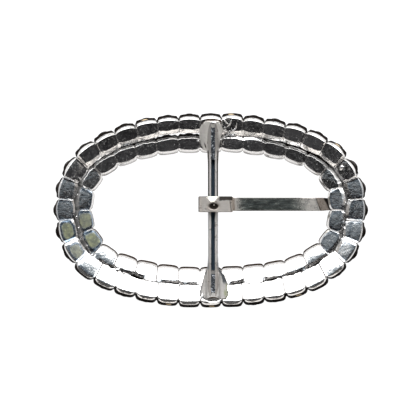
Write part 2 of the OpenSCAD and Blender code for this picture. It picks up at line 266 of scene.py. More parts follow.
# %% Tables of the groove
LOW_WALL = {
    # number of a corner in its section: its place on the lower long side
    "outer": {1: (-2.42, -0.10), 3: (1.50, 0.0), 4: (1.80, -0.27), 5: (2.00, -0.90), 6: (2.13, -1.84)},
    "inner": {1: (1.86, -0.36), 2: (1.58, 0.0), 5: (-2.27, -0.76)},
}
FILLED_WALL = {
    # number of a corner in its section: its place where the groove is full
    "outer": {0: (-2.36, -1.00), 1: (-2.28, -0.03)},
    "inner": {0: (2.22, -1.00), 1: (2.14, -0.03)},
}
OPEN_GROOVE = [
    # start and end, in degrees round the oval
    (202.3, 212.0), (213.0, 222.5), (233.5, 247.5), (251.0, 258), (287, 297), (310, 318.5),
    (319.5, 328.6), (330.6, 341),
]
WALL_SHIFT = np.array([
    # degrees round the oval, then shifts of the outer wall, the outer flats' edge, the inner lip and bevel
    (0, -0.50, -0.2, -0.2, -0.35), (6, -0.24, 0.20, -0.05, -0.42), (17, -0.54, -0.50, -0.20, -0.15),
    (27, -0.20, 0, -0.45, 0.15), (37, -0.70, -0.45, -0.55, 0.15), (47, -0.66, -0.45, -0.35, 0),
    (57, -0.60, -0.25, 0, 0), (68, -0.65, -0.15, 0, 0), (80, -0.60, -0.15, 0, 0), (86, 0, 0, 0, 0),
    (98, 0.2, 0.3, -0.1, 0.1), (113, 0.35, 0.4, -0.15, 0.1), (123, 0, 0.2, 0, 0.2),
    (133, -0.56, -0.3, -0.25, 0), (143, -0.60, -0.35, -0.2, 0), (153, -0.63, -0.3, -0.25, 0),
    (163, -0.67, 0, -0.2, 0.1), (173, -0.35, -0.3, -0.5, -0.25), (182, -0.42, -0.40, -0.6, -0.45),
    (191, -0.22, -0.45, -0.75, -0.65), (200, 0, -0.25, -0.3, -0.25), (205, -0.05, 0, 0, 0),
    (212, -0.45, 0, -0.42, -0.42), (222, -0.50, 0, -0.47, -0.47), (226, -0.3, 0, -0.3, -0.3),
    (235, -0.10, 0, -0.1, -0.1), (245, 0, 0, 0, 0), (257, 0.05, 0, 0, 0), (289, -0.20, 0, -0.2, -0.2),
    (295, -0.55, 0, -0.5, -0.5), (303, -0.5, 0, -0.5, -0.5), (312, -0.45, 0, -0.4, -0.4),
    (318, -0.25, 0, -0.2, -0.2), (324, -0.2, 0, -0.2, -0.2), (332, -0.35, 0, -0.4, -0.4),
    (338, -0.40, 0, -0.4, -0.4), (345, -0.50, -0.35, -0.25, -0.2), (353, -0.85, -0.75, -0.50, -0.30),
    (360, -0.50, -0.2, -0.2, -0.35),
]).T
print("open stretches of the groove:", len(OPEN_GROOVE), "stations of its walls:", WALL_SHIFT.shape[1])

# %% [markdown]
# ## How full the groove is at one cup
#
# Solder that has run has no straight edge, so two sine waves of the angle make the ends of the open
# stretches ragged. Noise would do as well, but two waves are easier to adjust. At both ends of the
# oval the walls also bulge between one notch and the next, as the real ones do there.

# %% State of the groove beside one cup
HALF_PITCH = 2.4
FILL_DEPTH = 3.0


def groove_state(row, i):
    """For each column of cup i: how full the groove is, and the four shifts of its walls."""
    here = row["middle"][i] + COLUMNS[:, None] * HALF_PITCH * row["along"][i]
    degrees = np.degrees(np.arctan2(here[:, 1], here[:, 0])) % 360
    inside = np.max([np.minimum(degrees - low, high - degrees) for low, high in OPEN_GROOVE], axis=0)
    ragged = 0.7 * np.sin(degrees * 2.3) + 0.5 * np.sin(degrees * 5.1 + 1)
    lower_half = np.clip((74 - np.abs(degrees - 270)) / 4, 0, 1)
    fill = np.clip(0.6 - (inside + ragged) / FILL_DEPTH, 0, 1) * lower_half
    wobble = 0.05 * np.sin(degrees * 3.7) + 0.04 * np.sin(degrees * 8.3)
    end_share = np.clip(1.2 - 1.7 * (row["outward"][i][1] ** 2 + row["outward"][i][2] ** 2), 0, 1)
    scallop = 0.26 * (np.abs(COLUMNS) ** 3 - 0.4) * end_share
    shifts = [np.interp(degrees, WALL_SHIFT[0], line) + wobble for line in WALL_SHIFT[1:]]
    return fill, [shift + sign * scallop for shift, sign in zip(shifts, (1, 1, -1, -1))]


fullest = [float(groove_state(outer_row, i)[0].max()) for i in range(OUTER_CUPS)]
print("outer cups with a full groove:", sum(value > 0.5 for value in fullest), "of", OUTER_CUPS)

# %% [markdown]
# ## Rounding the corners of a section
#
# No edge of a casting is truly sharp, and the small round of an edge is what catches a highlight. A
# bevel modifier could make it, but it would round the notches as well, and change the order of the
# vertices that later steps count on. So each corner gets a short Bezier arc of its own, and the
# straight stretch after it is divided as the section's table says.

# %% Round the corners of a section
LONGEST_CUT = 0.4


def rounded(section, middle, corners):
    """The loop through the corners, with an arc at each and the section's number of steps between."""
    lengths = np.linalg.norm(np.roll(middle[:, 0], -1, axis=0) - middle[:, 0], axis=1)
    points = []
    for k, line in enumerate(section):
        here, before, after = corners[k], corners[k - 1], corners[(k + 1) % len(section)]
        start = here + (before - here) * min(LONGEST_CUT, CORNER_R / lengths[k - 1])
        end = here + (after - here) * min(LONGEST_CUT, CORNER_R / lengths[k])
        for t in np.linspace(0, 1, CORNER_STEPS + 1):
            points.append((1 - t) ** 2 * start + 2 * t * (1 - t) * here + t ** 2 * end)
        next_start = after + (here - after) * min(LONGEST_CUT, CORNER_R / lengths[k])
        for t in np.arange(1, line[5]) / line[5]:
            points.append(end + (next_start - end) * t)
    return np.stack(points, axis=1)


print("radius of the corners:", CORNER_R, "in", CORNER_STEPS, "steps")

# %% [markdown]
# ## The cross-section at every column
#
# This step turns the tables into closed loops of points, one at each column. Each corner first takes
# its place for this cup: between its places on the long side and at the end, and moved where solder
# fills the groove. Then it draws in at the shoulder and at the notch. Editing every cup by hand would
# give more freedom, but 66 cups are quicker to change through one table.

# %% Cross-sections of one cup
MIN_BEVEL = 0.12
SLIP_SHARE = {"outer": np.array([0.8, 1, 0.9, 0.8, 0.8])[:, None], "inner": np.array([0.5, 1, 1, 1])[:, None]}
RIBBON_AT_END = np.array([-1.0, -0.15])


def section_loops(name, side, cut, top, groove, slip):
    """The rounded cross-section of one cup at each of its columns, as outward and height."""
    section = SECTIONS[name]
    on_side, on_end, shoulder, notch = (
        np.array([line[k] for line in section])[:, None, :] for k in range(4))
    middle = on_end + (on_side - on_end) * side
    middle, shoulder, notch = (np.repeat(part, len(COLUMNS), axis=1) for part in (middle, shoulder, notch))
    fill, (wall, edge, lip, bevel) = groove[0][:, None], groove[1]
    for k, low in LOW_WALL[name].items():
        middle[k] += (np.array(low) - middle[k]) * side * (1 - top)
    if name == "inner":
        middle[1, :, 0] += lip
        middle[2, :, 0] = np.minimum(middle[2, :, 0] + bevel, middle[1, :, 0] - MIN_BEVEL)
        middle[3:7, :, 0] -= slip * SLIP_SHARE[name]
    else:
        middle[2, :, 0] += edge
        ribbon = middle[1] - middle[2]
        ribbon = ribbon / np.linalg.norm(ribbon, axis=1)[:, None] * side + RIBBON_AT_END * (1 - side)
        middle[1] -= ribbon * wall[:, None]
        middle[3:8, :, 0] += slip * SLIP_SHARE[name]
    for k, full in FILLED_WALL[name].items():
        middle[k] += (np.array(full) - middle[k]) * fill
        shoulder[k] *= 1 - fill
        notch[k] *= 1 - 0.75 * fill
    place = np.array([line[4] for line in section])[:, None]
    reach = np.abs(COLUMNS)[None, :]
    power = CORNER_POWER[name] + LOW_SIDE_POWER[name] * side * (1 - top)
    s = (np.clip(reach / place, 0, 1) ** power)[..., None]
    q = np.clip((reach - place) / (1 - place), 0, 1)[..., None] ** NOTCH_POWER
    return rounded(section, middle, middle + shoulder * cut * s + (notch - shoulder * cut) * q)


first_loops = section_loops("outer", 0.0, 1.0, 1.0, groove_state(outer_row, 0), 0.0)
print("points round one cross-section:", first_loops.shape[1])

# %% [markdown]
# ## No two cups are alike
#
# On the real buckle each cup stands a little further out or in, and some flats lean or roll off at
# an edge. Random numbers alone would give a different buckle. What can be read from the real one is
# in tables, by the number of the cup, and random numbers with a fixed seed add the rest.

# %% Tables of the single cups
SLIP = {
    # how far each cup stands out of its row
    "outer": [
        -0.15, -0.2, -0.4, 0.05, -0.1, -0.15, -0.3, -0.1, 0.25, 0.1, 0, 0, 0, -0.2, -0.3, -0.2, -0.2, -0.25,
        -0.1, -0.35, -0.3, 0.05, 0, -0.15, 0, 0.15, 0.3, 0.25, 0.25, 0, 0.05, 0.05, 0.15, -0.15, -0.35, -0.35,
    ],
    "inner": [
        0.15, 0.25, -0.1, 0.15, 0.25, 0.15, -0.1, 0.1, 0.05, 0, 0.2, 0.25, 0.1, 0.2, 0.3,
        0.2, 0.3, 0, 0.3, 0.3, 0.2, 0, 0.1, 0.2, 0.3, 0.25, 0.15, 0.2, 0.2, 0.35,
    ],
}
ROLL = {
    # how the flat rolls off at its edge, as width and angle. A wide roll shows as a dark band
    "outer": {
        21: (0.9, 7), 22: (0.6, 24), 23: (0.35, 20), 24: (0.35, 20), 25: (0.55, 20), 26: (0.45, 20),
        28: (0.55, 19), 29: (0.40, 21), 30: (0.35, 20), 31: (0.45, 20), 32: (0.45, 21), 33: (1.3, 8),
        34: (0.5, 6),
    },
    "inner": {16: (0.5, 5), 17: (1.1, 8), 27: (1.2, 8), 26: (0.5, 15), 18: (0.4, 12)},
}
LEAN = {"outer": {21: 6.3, 33: 1.5, 2: -1.0}, "inner": {}}
FLAT_HALF_ALONG = 1.95
FLAT_HALF_ACROSS = 1.45
print("cups with a rolled edge:", sum(len(cups) for cups in ROLL.values()))

# %% [markdown]
# ## The relief of a flat
#
# A polished flat is never quite flat, and a mirror shows the smallest tilt. Each one gets a lean, a
# shallow hollow, the roll at its edge and a fine waviness. A bump map could fake the waviness, but
# not the lean, and real points keep the outline and the reflection in step.

# %% Relief of one flat
def flat_form(name, i, x, v, side, rng):
    """Relief of one flat: its lean, its hollow, the roll at its edge and a fine waviness."""
    lean_x, lean_v, dish = rng.normal(0, 0.012), rng.normal(0, 0.010), rng.normal(0.03, 0.02)
    p1, p2, p3, p4 = rng.uniform(0, 6.28, 4)
    form = lean_x * x + lean_v * v
    form = form - dish * ((x / FLAT_HALF_ALONG) ** 2 + (v / FLAT_HALF_ACROSS) ** 2)
    wide, steep = ROLL[name].get(i, (0.3, 0))
    edge = 1.25 + 0.35 * side + 0.8 * SLIP[name][i] if name == "outer" else 1.22 + 0.2 * side
    rolled = np.clip((v - edge + wide) / wide, 0, 1.3) ** 2
    form = form - rolled * wide / 2 * np.tan(np.radians(steep)) - v * np.tan(np.radians(LEAN[name].get(i, 0)))
    form = form + 0.010 * np.sin(2.3 * x + p1) * np.sin(2.9 * v + p2)
    return form + 0.004 * np.sin(5.1 * x + 2.0 * v + p3) + 0.003 * np.sin(4.7 * v - 2.6 * x + p4)


rise = flat_form("outer", 22, 0.0, np.array([0.0, 1.25]), 1.0, np.random.default_rng(0))
print("the flat of cup 22 falls by", round(float(rise[0] - rise[1]), 3), "mm towards its edge")

# %% [markdown]
# ## Lofting a row
#
# The loops of all cups are laid one after another and joined to one skin, as a real casting is one
# piece of metal. Separate cups would be easier to place, but a gap would show at every notch.
# Near a notch each loop is blended with the place that the neighbouring cup would give it, so the
# two cups meet without a step.

# %% Loft one row
def place_in_cup(row, i, a, spot):
    """Points of cup i: a along the row, where 1 is halfway to the next cup, then outward and height."""
    n = len(row["middle"])
    after, before = (i + 1) % n, (i - 1) % n
    out = spot[..., :1]
    chord = row["middle"][after] + out * row["outward"][after]
    chord = chord - (row["middle"][before] + out * row["outward"][before])
    half = np.linalg.norm(chord, axis=-1, keepdims=True) / 4
    place = row["middle"][i] + a * half * row["along"][i]
    return place + out * row["outward"][i] + spot[..., 1:] * row["back"][i]


def loft_row(row, name, seed):
    rng = np.random.default_rng(seed)
    n = len(row["middle"])
    a = COLUMNS[:, None, None]
    share = 0.5 * smoothstep(0.80, 1.0, np.abs(a))
    x = COLUMNS[:, None] * FLAT_HALF_ALONG * 1.15
    rings, heights = [], []
    for i in range(n):
        side = row["outward"][i][1] ** 2 + row["outward"][i][2] ** 2
        top = smoothstep(-4.0, 2.0, row["middle"][i][1])
        loops = section_loops(name, side, rng.uniform(0.75, 1.25), top, groove_state(row, i), SLIP[name][i])
        form = flat_form(name, i, x, loops[..., 0], side, rng)
        on_flat = smoothstep(-0.75, -0.2, loops[..., 1])
        spot = loops.copy()
        spot[..., 1] += form * on_flat * (1 - smoothstep(0.90, 1.0, np.abs(COLUMNS)))[:, None]
        turn, slide = rng.normal(0, 0.022), rng.normal(0, 0.025)
        spot[..., 0] += (slide + turn * x) * (1 - smoothstep(0.7, 1.0, np.abs(COLUMNS)))[:, None]
        own = place_in_cup(row, i, a, spot)
        neighbour_before = place_in_cup(row, (i - 1) % n, a + 2, spot)
        neighbour_after = place_in_cup(row, (i + 1) % n, a - 2, spot)
        other = np.where(a < 0, neighbour_before, neighbour_after)
        rings.append(own * (1 - share) + other * share)
        heights.append(loops)
    return arched(np.concatenate(rings)), np.concatenate(heights)


outer_points, outer_spots = loft_row(outer_row, "outer", 11)
inner_points, inner_spots = loft_row(inner_row, "inner", 23)
outer_cups = add_mesh("outer_cups", outer_points, grid_faces(*outer_points.shape[:2], True, True))
inner_cups = add_mesh("inner_cups", inner_points, grid_faces(*inner_points.shape[:2], True, True))
for piece in (outer_cups, inner_cups):
    print(piece.name, "faces:", len(piece.data.polygons))

# %% [markdown]
# ## Where the metal is dark
#
# Polished walls that face the table see little light, and the groove and some bevels lie in shade.
# This shade is painted: a number stored on each vertex says how dark the metal is at that place. The
# material reads it by name, which keeps one material for the whole casting. Painting it by hand
# would work too, but a rule for walls, bevels and crevices treats all 66 cups alike.

# %% Painted shade of both rows
def store(piece, name, values):
    layer = piece.data.attributes.new(name, "FLOAT", "POINT")
    layer.data.foreach_set("value", np.asarray(values, np.float32).ravel())


def upper_side(points):
    """0 on the lower side of the buckle and 1 on the upper."""
    return smoothstep(-5.0, 2.0, points[..., 1])


def lip_shade(points, spots):
    """Painted shade along the edge at the opening: brown on the lower side, faint on the upper."""
    lip = smoothstep(0.42, 0.47, -spots[..., 1]) * smoothstep(1.45, 1.7, -spots[..., 0])
    return lip * (1 - 0.8 * upper_side(points))


def outer_shade(points, spots):
    # Painted shade on the walls that face the table, in the groove, and on the bevels at the ends and on the
    # lower side.
    out, height = spots[..., 0], spots[..., 1]
    beyond = np.maximum(np.abs(points[..., 0]) - 17, 0)
    across = np.abs(points[..., 1]) / (np.abs(points[..., 1]) + 0.35 * beyond + 1)
    long_side = smoothstep(0.3, 0.6, across)
    far_side = smoothstep(0.9, 1.1, out)
    wall_start = -0.46 - 0.26 * smoothstep(0.3, 0.8, across)
    wall = smoothstep(0.0, 0.05, wall_start - height) * smoothstep(0.6, 1.0, out)
    crevice = smoothstep(0.55, 0.75, -height) * smoothstep(1.5, 1.8, -out) * (0.68 + 0.32 * long_side)
    end_bevel = smoothstep(0.04, 0.10, -height) * far_side * (1 - long_side) * 0.45
    bevel = smoothstep(0.01, 0.05, -height) * (1 - smoothstep(0.20, 0.26, -height)) * far_side
    low_bevel = 0.9 * bevel * (1 - upper_side(points)) * long_side
    return np.maximum.reduce([wall, crevice, end_bevel, low_bevel])


BEVEL_SHADE = np.array([
    # degrees round the oval, how dark the bevel beside the groove is
    (9, 0), (14, 0.6), (22, 0.6), (30, 0), (160, 0), (168, 0.6), (178, 0.5), (186, 0.25), (196, 0)]).T


def inner_shade(points, spots):
    # Painted shade on the lip at the opening, in the groove and on the bevel beside it.
    near_groove, low = smoothstep(0.5, 0.8, spots[..., 0]), -spots[..., 1]
    long_side = smoothstep(7.0, 11.0, np.abs(points[..., 1]))
    crevice = smoothstep(0.5, 0.62, low) * near_groove * (0.68 + 0.32 * long_side)
    degrees = np.degrees(np.arctan2(points[..., 1], points[..., 0])) % 360
    bevel = smoothstep(0.0, 0.06, low) * near_groove * np.interp(degrees, *BEVEL_SHADE)
    return np.maximum.reduce([lip_shade(points, spots), crevice, bevel])


# The brown at the opening's edge is painted shade, stored apart from the rest.
store(inner_cups, "painted_lip_shade", lip_shade(inner_points, inner_spots))
print("rust stored on", inner_cups.name)

# %% [markdown]
# ## Seams and glints
#
# Some seams between two flats are darkened to a faint line. It could be modelled as a tiny groove,
# but it is thinner than a hair, so a few columns of vertices are darkened. On the walls of seven
# outer cups a gold glint is painted, where the lacquer behind the stone would catch the light.

# %% Store painted shade, seams and painted glints
SEAMS = {
    # cup after the seam, and strength
    "outer": [(25, 0.93), (26, 0.95), (29, 0.88), (31, 0.93), (32, 0.8), (33, 0.96), (34, 0.9), (22, 0.85)],
    "inner": [(18, 0.98), (19, 0.93), (20, 0.93), (21, 0.95), (27, 0.93), (24, 0.85), (17, 0.85)],
}
SEAM_FADE = ((-2, 0.55), (-1, 0.9), (0, 1.0), (1, 0.9), (2, 0.55))


def add_seams(values, spots, seams):
    for i, strength in seams:
        for shift, share in SEAM_FADE:
            column = (i * len(COLUMNS) + shift) % len(values)
            flat = spots[column, :, 1] > -0.45
            values[column] = np.maximum(values[column], strength * share * flat)
    return values


outer_dark, inner_dark = outer_shade(outer_points, outer_spots), inner_shade(inner_points, inner_spots)
store(outer_cups, "shade_and_tarnish", add_seams(outer_dark, outer_spots, SEAMS["outer"]))
store(inner_cups, "shade_and_tarnish", add_seams(inner_dark, inner_spots, SEAMS["inner"]))
# Painted glint: a gold spot on the wall of seven outer cups, where the lacquer behind the stone would catch
# the light.
PAINTED_GLINT_CUPS = [3, 5, 8, 12, 25, 27, 31]
PAINTED_GLINT_HEIGHT, PAINTED_GLINT_HIGH = -1.28, 0.15
painted_glint = np.zeros(outer_spots.shape[:2])
for i in PAINTED_GLINT_CUPS:
    columns = slice(i * len(COLUMNS), (i + 1) * len(COLUMNS))
    reach = np.abs(COLUMNS - 0.1)[:, None] / 0.30
    level = (outer_spots[columns, :, 1] - PAINTED_GLINT_HEIGHT) / PAINTED_GLINT_HIGH
    painted_glint[columns] = (1 - smoothstep(0.5, 1.0, reach)) * np.exp(-level ** 4)
store(outer_cups, "painted_glint", painted_glint * (outer_spots[..., 0] > 1.95))
print("seams:", {name: len(seams) for name, seams in SEAMS.items()}, "glints:", len(PAINTED_GLINT_CUPS))

# %% [markdown]
# ## Olive stains
#
# Olive stains, perhaps from polishing paste or old leather, lie on four cups at the left end. Each
# has a dark blue border. More cups at both ends have the blue alone, which there is a painted blue
# reflection of the light overhead. A picture of the stains could be laid over the metal, but each of
# them is no more than a rounded square with an uneven edge. So two more numbers are stored on every
# vertex, one for the stain and one for its border and the painted blue.

# %% Store the olive stains
CUP_HALF_ALONG = 2.25
STAINED = {
    # cup: middle along and outward, half size along and outward, strength of the stain, of the border and
    # painted blue
    "outer": {
        19: (0.0, -0.45, 1.75, 1.35, 1.0, 1.0), 20: (0.35, -0.35, 1.45, 1.25, 0.8, 0.8),
        18: (0, -0.3, 1.9, 1.5, 0, 0.55), 21: (0.1, -0.2, 1.9, 1.4, 0, 0.5), 0: (0, 0.1, 1.7, 1.2, 0, 0.45),
        1: (0, 0.1, 1.6, 1.2, 0, 0.4), 34: (0, -0.1, 1.7, 1.2, 0, 0.4), 35: (0.1, 0.1, 1.7, 1.3, 0, 0.45),
        17: (0, 0, 1.8, 1.4, 0, 0.3),
    },
    "inner": {
        15: (0.0, -0.35, 1.70, 1.45, 0.9, 0.9), 16: (0.05, -0.3, 1.70, 1.40, 1.0, 1.0),
        14: (0, 0, 1.9, 1.5, 0, 0.7), 0: (0, -0.2, 1.7, 1.2, 0, 0.45), 29: (0, -0.2, 1.7, 1.2, 0, 0.45),
        28: (0, -0.1, 1.8, 1.3, 0, 0.4),
    },
}


def store_stains(piece, spots, stained):
    olive, border_and_blue_reflection = np.zeros(spots.shape[:2]), np.zeros(spots.shape[:2])
    x = np.tile(COLUMNS * CUP_HALF_ALONG, len(spots) // len(COLUMNS))[:, None]
    v = spots[..., 0]
    for i, (x0, v0, wide, high, inner_strength, outer_strength) in stained.items():
        rows = slice(i * len(COLUMNS), (i + 1) * len(COLUMNS))
        d = (np.abs((x[rows] - x0) / wide) ** 4 + np.abs((v[rows] - v0) / high) ** 4) ** 0.25
        d = d + 0.15 * wavy(x[rows] * 1.3, v[rows] * 1.3, 90 + i)
        on_flat = smoothstep(-0.5, -0.3, spots[rows, :, 1])
        olive[rows] = (1 - smoothstep(0.80, 1.06, d)) * on_flat * inner_strength
        border_and_blue_reflection[rows] = smoothstep(0.80, 1.00, d) * (1 - smoothstep(1.20, 1.34, d)) * on_flat * outer_strength
    store(piece, "olive", olive)
    store(piece, "border_and_blue_reflection", border_and_blue_reflection)


store_stains(outer_cups, outer_spots, STAINED["outer"])
store_stains(inner_cups, inner_spots, STAINED["inner"])
print("stained cups:", {name: sorted(cups) for name, cups in STAINED.items()})

# %% [markdown]
# ## The crossbar
#
# The bar is a strip of sheet metal that was rolled into a tube, with its seam left open towards the
# back. Towards both ends it swells a little and climbs the bowl of the cups. The mesh is one
# C-shaped loop that is swept along the bar. Where a curve with a bevel would be quicker, the sweep
# lets the radius change and the underside flatten against the solder pads.

# %% Line and radius of the crossbar
BAR_X, BAR_Z, BAR_R, BAR_WALL = 0.5, 4.1, 1.13, 0.42
SEAM_W = 0.86
BAR_STRAIGHT = 12.7
END_RISE = np.tan(np.radians(10.0))
END_SWELL = 0.14
PAD_START, PAD_SINK, PAD_T = 12.5, 0.35, 0.8
PAD_SLOPE = OUTER_RISE / (OUTER_HALF[1] - INNER_HALF[1])
BAR_END_TOP, BAR_END_LOW = 19.5, -19.4


def pad_floor(y):
    return BACK_Z - PAD_SINK + (np.abs(y) - INNER_HALF[1]) * PAD_SLOPE


def bar_middle(y):
    return BAR_Z + np.maximum(0, np.abs(y) - BAR_STRAIGHT) * END_RISE


def bar_radius(y):
    return BAR_R + END_SWELL * smoothstep(9.5, 13.5, np.abs(y))


print("radius at the middle", BAR_R, "and at the ends", float(bar_radius(np.array(BAR_END_TOP))))

# %% [markdown]
# ## The loop across the bar
#
# Cut across, the bar is a letter C with rounded lips. It is worked out anew at every station along
# the bar, as angles and radii. One loop that is only scaled would be simpler, but the sheet would
# get thicker where the bar swells. At the ends the underside is lifted to the floor of the solder
# pads, so that nothing of it comes out below them.

# %% Sweep the crossbar
def c_loop(radius, wall, seam):
    """A C-shaped loop in the plane across the bar, open towards +Z, with rounded lips."""
    middle = radius - wall / 2
    gap = np.arcsin(seam / 2 / middle) + wall / 2 / middle
    outside = np.linspace(gap, 2 * np.pi - gap, 45)
    inside = outside[::-2]
    lip = np.linspace(0, np.pi, 6)[1:-1]
    lip_r, lip_turn = middle + wall / 2 * np.cos(lip), wall / 2 * np.sin(lip) / middle
    r = np.concatenate([
        np.full(len(outside), radius), lip_r, np.full(len(inside), radius - wall), lip_r[::-1]])
    turn = np.concatenate([outside, 2 * np.pi - gap + lip_turn, inside, gap - lip_turn[::-1]])
    return np.stack([r * np.sin(turn), r * np.cos(turn)], axis=1)


stations = np.concatenate([
    np.linspace(BAR_END_LOW, -9, 36), np.linspace(-8.6, 8.6, 40), np.linspace(9, BAR_END_TOP, 36)])
loops = []
for y in stations:
    loop = c_loop(bar_radius(y), BAR_WALL, SEAM_W)
    z = loop[:, 1] + bar_middle(y)
    if abs(y) > PAD_START:
        z = np.maximum(z, pad_floor(y) + 0.05)
    loops.append(np.stack([loop[:, 0] + BAR_X, np.full(len(loop), y), z], axis=1))
bar_points = np.array(loops)
crossbar = add_mesh("crossbar", bar_points, tube_faces(*bar_points.shape[:2]))
print("crossbar from", BAR_END_LOW, "to", BAR_END_TOP, "faces:", len(crossbar.data.polygons))

# %% [markdown]
# ## Stains of the crossbar
#
# The inside of the tube, its flanks and a line at its upper end carry painted shade, brown on the
# upper flanks, and brown film lies where the bar was heated for soldering. The angle and the radius
# of each vertex round the bar's middle line say on which of these it lies, so no part has to be picked by
# hand.

# %% Store the stains and painted shade of the crossbar
FLANK_END = 13.0
bar_y = bar_points[..., 1]
off_middle = bar_points[..., 0] - BAR_X, bar_points[..., 2] - bar_middle(bar_y)
loop_turn = np.degrees(np.arctan2(*off_middle))
wall_place = np.hypot(*off_middle) - (bar_radius(bar_y) - BAR_R)
# Painted shade inside the tube, on its flanks and as a line at the upper end.
hollow = 1 - smoothstep(BAR_R - BAR_WALL, BAR_R - 0.55 * BAR_WALL, wall_place)
flank = smoothstep(42, 52, np.abs(loop_turn)) * (1 - smoothstep(100, 140, np.abs(loop_turn)))
flank_shade = np.where(bar_y > 0, 0.95, 0.5) * flank * (np.abs(bar_y) < FLANK_END)
end_line = smoothstep(19.15, 19.3, bar_y)
store(crossbar, "shade_and_tarnish", np.maximum.reduce([hollow, flank_shade, end_line]))
store(crossbar, "wear_and_sheen", np.ones(bar_y.shape))
bar_film = 0.3 + 0.45 * smoothstep(11.0, 14.0, bar_y) + 0.6 * smoothstep(9.5, 13.0, -bar_y)
flank_shade_tint = smoothstep(0.2, 0.8, flank) * (np.abs(bar_y) < FLANK_END) * (bar_y > 0)
store(crossbar, "film_and_shade", np.maximum(bar_film, flank_shade_tint))
print("dark share of the crossbar:", round(float((flank_shade > 0.4).mean()), 2))

# %% [markdown]
# ## The solder pads
#
# Under each end of the bar lies a leaf-shaped pad that is soldered to both rows of cups. Its outline
# is read from the photograph as a short table of widths. The pad's top is a grid that is crowned a
# little and wavy, because solder never lies flat.

# %% Outlines of the leaf pads
TOP_LEAF = [
    # place along the bar, reach to the left, reach to the right
    (12.7, 1.05, 1.05), (13.1, 1.7, 1.15), (13.5, 2.25, 1.25), (14.5, 2.8, 1.45), (16.1, 3.0, 1.8),
    (17.6, 3.0, 2.2), (18.6, 2.7, 2.0), (19.2, 2.3, 1.75), (19.65, 1.6, 1.25), (19.95, 0.7, 0.6),
]
LOW_LEAF = [
    (12.6, 1.1, 1.1), (13.2, 1.7, 1.6), (14.2, 2.0, 2.4), (15.1, 2.2, 2.9), (16.1, 2.45, 3.3),
    (17.3, 2.75, 3.35), (18.7, 3.0, 3.5), (19.5, 2.2, 3.0), (19.95, 1.2, 1.6),
]
print("largest width of the top pad:", max(left + right for place, left, right in TOP_LEAF))

# %% [markdown]
# ## Form and stains of a pad
#
# A subdivided plane that follows the outline would fold at the leaf's tip. So the pad is built as rows
# across the bar, each as wide as the leaf is there. A fillet climbs the bar on both sides, as solder
# does. Dark flux along the edges, a painted shadow across the end of the upper pad, and green
# corrosion on the lower pad are stored as two numbers.

# %% Lay the leaf pads
PAD_FOOT = 0.25


def soft_spot(x, y, x0, y0, wide, high):
    """A spot with soft edges: 1 at its middle and 0 beyond its half sizes."""
    return np.exp(-np.hypot((x - x0) / wide, (y - y0) / high) ** 4)


def pad_stains(x, y, t, side, seed):
    """How dark and how green the top of a pad is. t is the place across it, from -1 to 1."""
    ragged = wavy(x, y, seed + 20)
    rim = smoothstep(0.86, 0.97, np.abs(t)) * np.clip(0.6 + 0.9 * ragged, 0, 1)
    if side > 0:
        # Painted shadow across the end of the upper pad, where it meets the cups.
        corners = smoothstep(0.84, 0.92, np.abs(t)) * smoothstep(18.5, 19.0, y)
        end_shadow = np.maximum(smoothstep(19.42, 19.56, y), corners)
        fold = soft_spot(x + (y - 14) * 0.3, y, -1.15, 14.1, 0.16, 0.7)
        return np.maximum.reduce([rim * 0.4, end_shadow, fold]), np.zeros_like(rim)
    streak = smoothstep(0.64, 0.74, t + 0.07 * ragged)
    streak = streak * smoothstep(12.7, 12.9, -y) * (1 - smoothstep(15.6, 16.6, -y))
    corner = soft_spot(x, y, -1.95, -19.3, 0.5, 0.5)
    speck = soft_spot(x, y, -1.15, -13.6, 0.3, 0.6)
    green = 0.9 * soft_spot(x - 0.2 * ragged, y, 3.15, -18.2, 0.34, 0.75)
    green = np.maximum(green, 0.7 * smoothstep(0.78, 0.9, t) * smoothstep(15.8, 16.4, -y))
    return np.maximum.reduce([rim * 0.7, 0.9 * streak, 0.95 * corner, 0.8 * speck]), green


def leaf_pad(table, side, seed):
    y_in, left_in, right_in = np.array(table).T
    along = np.linspace(y_in[0], y_in[-1], 60)
    left, right = np.interp(along, y_in, left_in), np.interp(along, y_in, right_in)
    t = np.linspace(-1, 1, 61)[None, :]
    x = BAR_X + np.where(t < 0, t * left[:, None], t * right[:, None])
    y = side * np.repeat(along[:, None], x.shape[1], axis=1)
    end = np.minimum(smoothstep(0, 0.9, along - y_in[0]), smoothstep(0, 0.6, y_in[-1] - along))[:, None]
    crown = (1 - np.abs(t) ** 5) ** 0.5 * (0.25 + 0.75 * end)
    fillet = 0.62 * np.exp(-(np.maximum(np.abs(x - BAR_X) - 1.2, 0) / 0.30) ** 1.5) * end
    top = pad_floor(y) + 0.12 + (PAD_T - 0.1) * crown + fillet + 0.035 * wavy(x, y, seed) * end
    upper = np.stack([x, y, top], axis=-1)
    lower = np.stack([x, y, pad_floor(y) - PAD_FOOT], axis=-1)[:, ::-1]
    dark, green = pad_stains(x, y, t, side, seed)
    dark = np.concatenate([dark, np.ones_like(dark)], axis=1)
    green = np.concatenate([green, np.zeros_like(green)], axis=1)
    return np.concatenate([upper, lower], axis=1), dark, green


pads = []
for name, table, side, seed in (("top_pad", TOP_LEAF, 1, 5), ("low_pad", LOW_LEAF, -1, 8)):
    points, dark, green = leaf_pad(table, side, seed)
    pads.append(add_mesh(name, points, slab_faces(*points.shape[:2])))
    store(pads[-1], "shade_and_tarnish", dark)
    store(pads[-1], "olive", green)
    print(name, "faces:", len(pads[-1].data.polygons))

# %% [markdown]
# ## Runs of solder
#
# Solder ran out beside the upper pad in bright ridges, and left a rough lip at the lower end. Each
# run is listed with its place, size and turn. Two thin ones at the lower end are dark, because they
# are the shade beside the lip and not the lip itself.

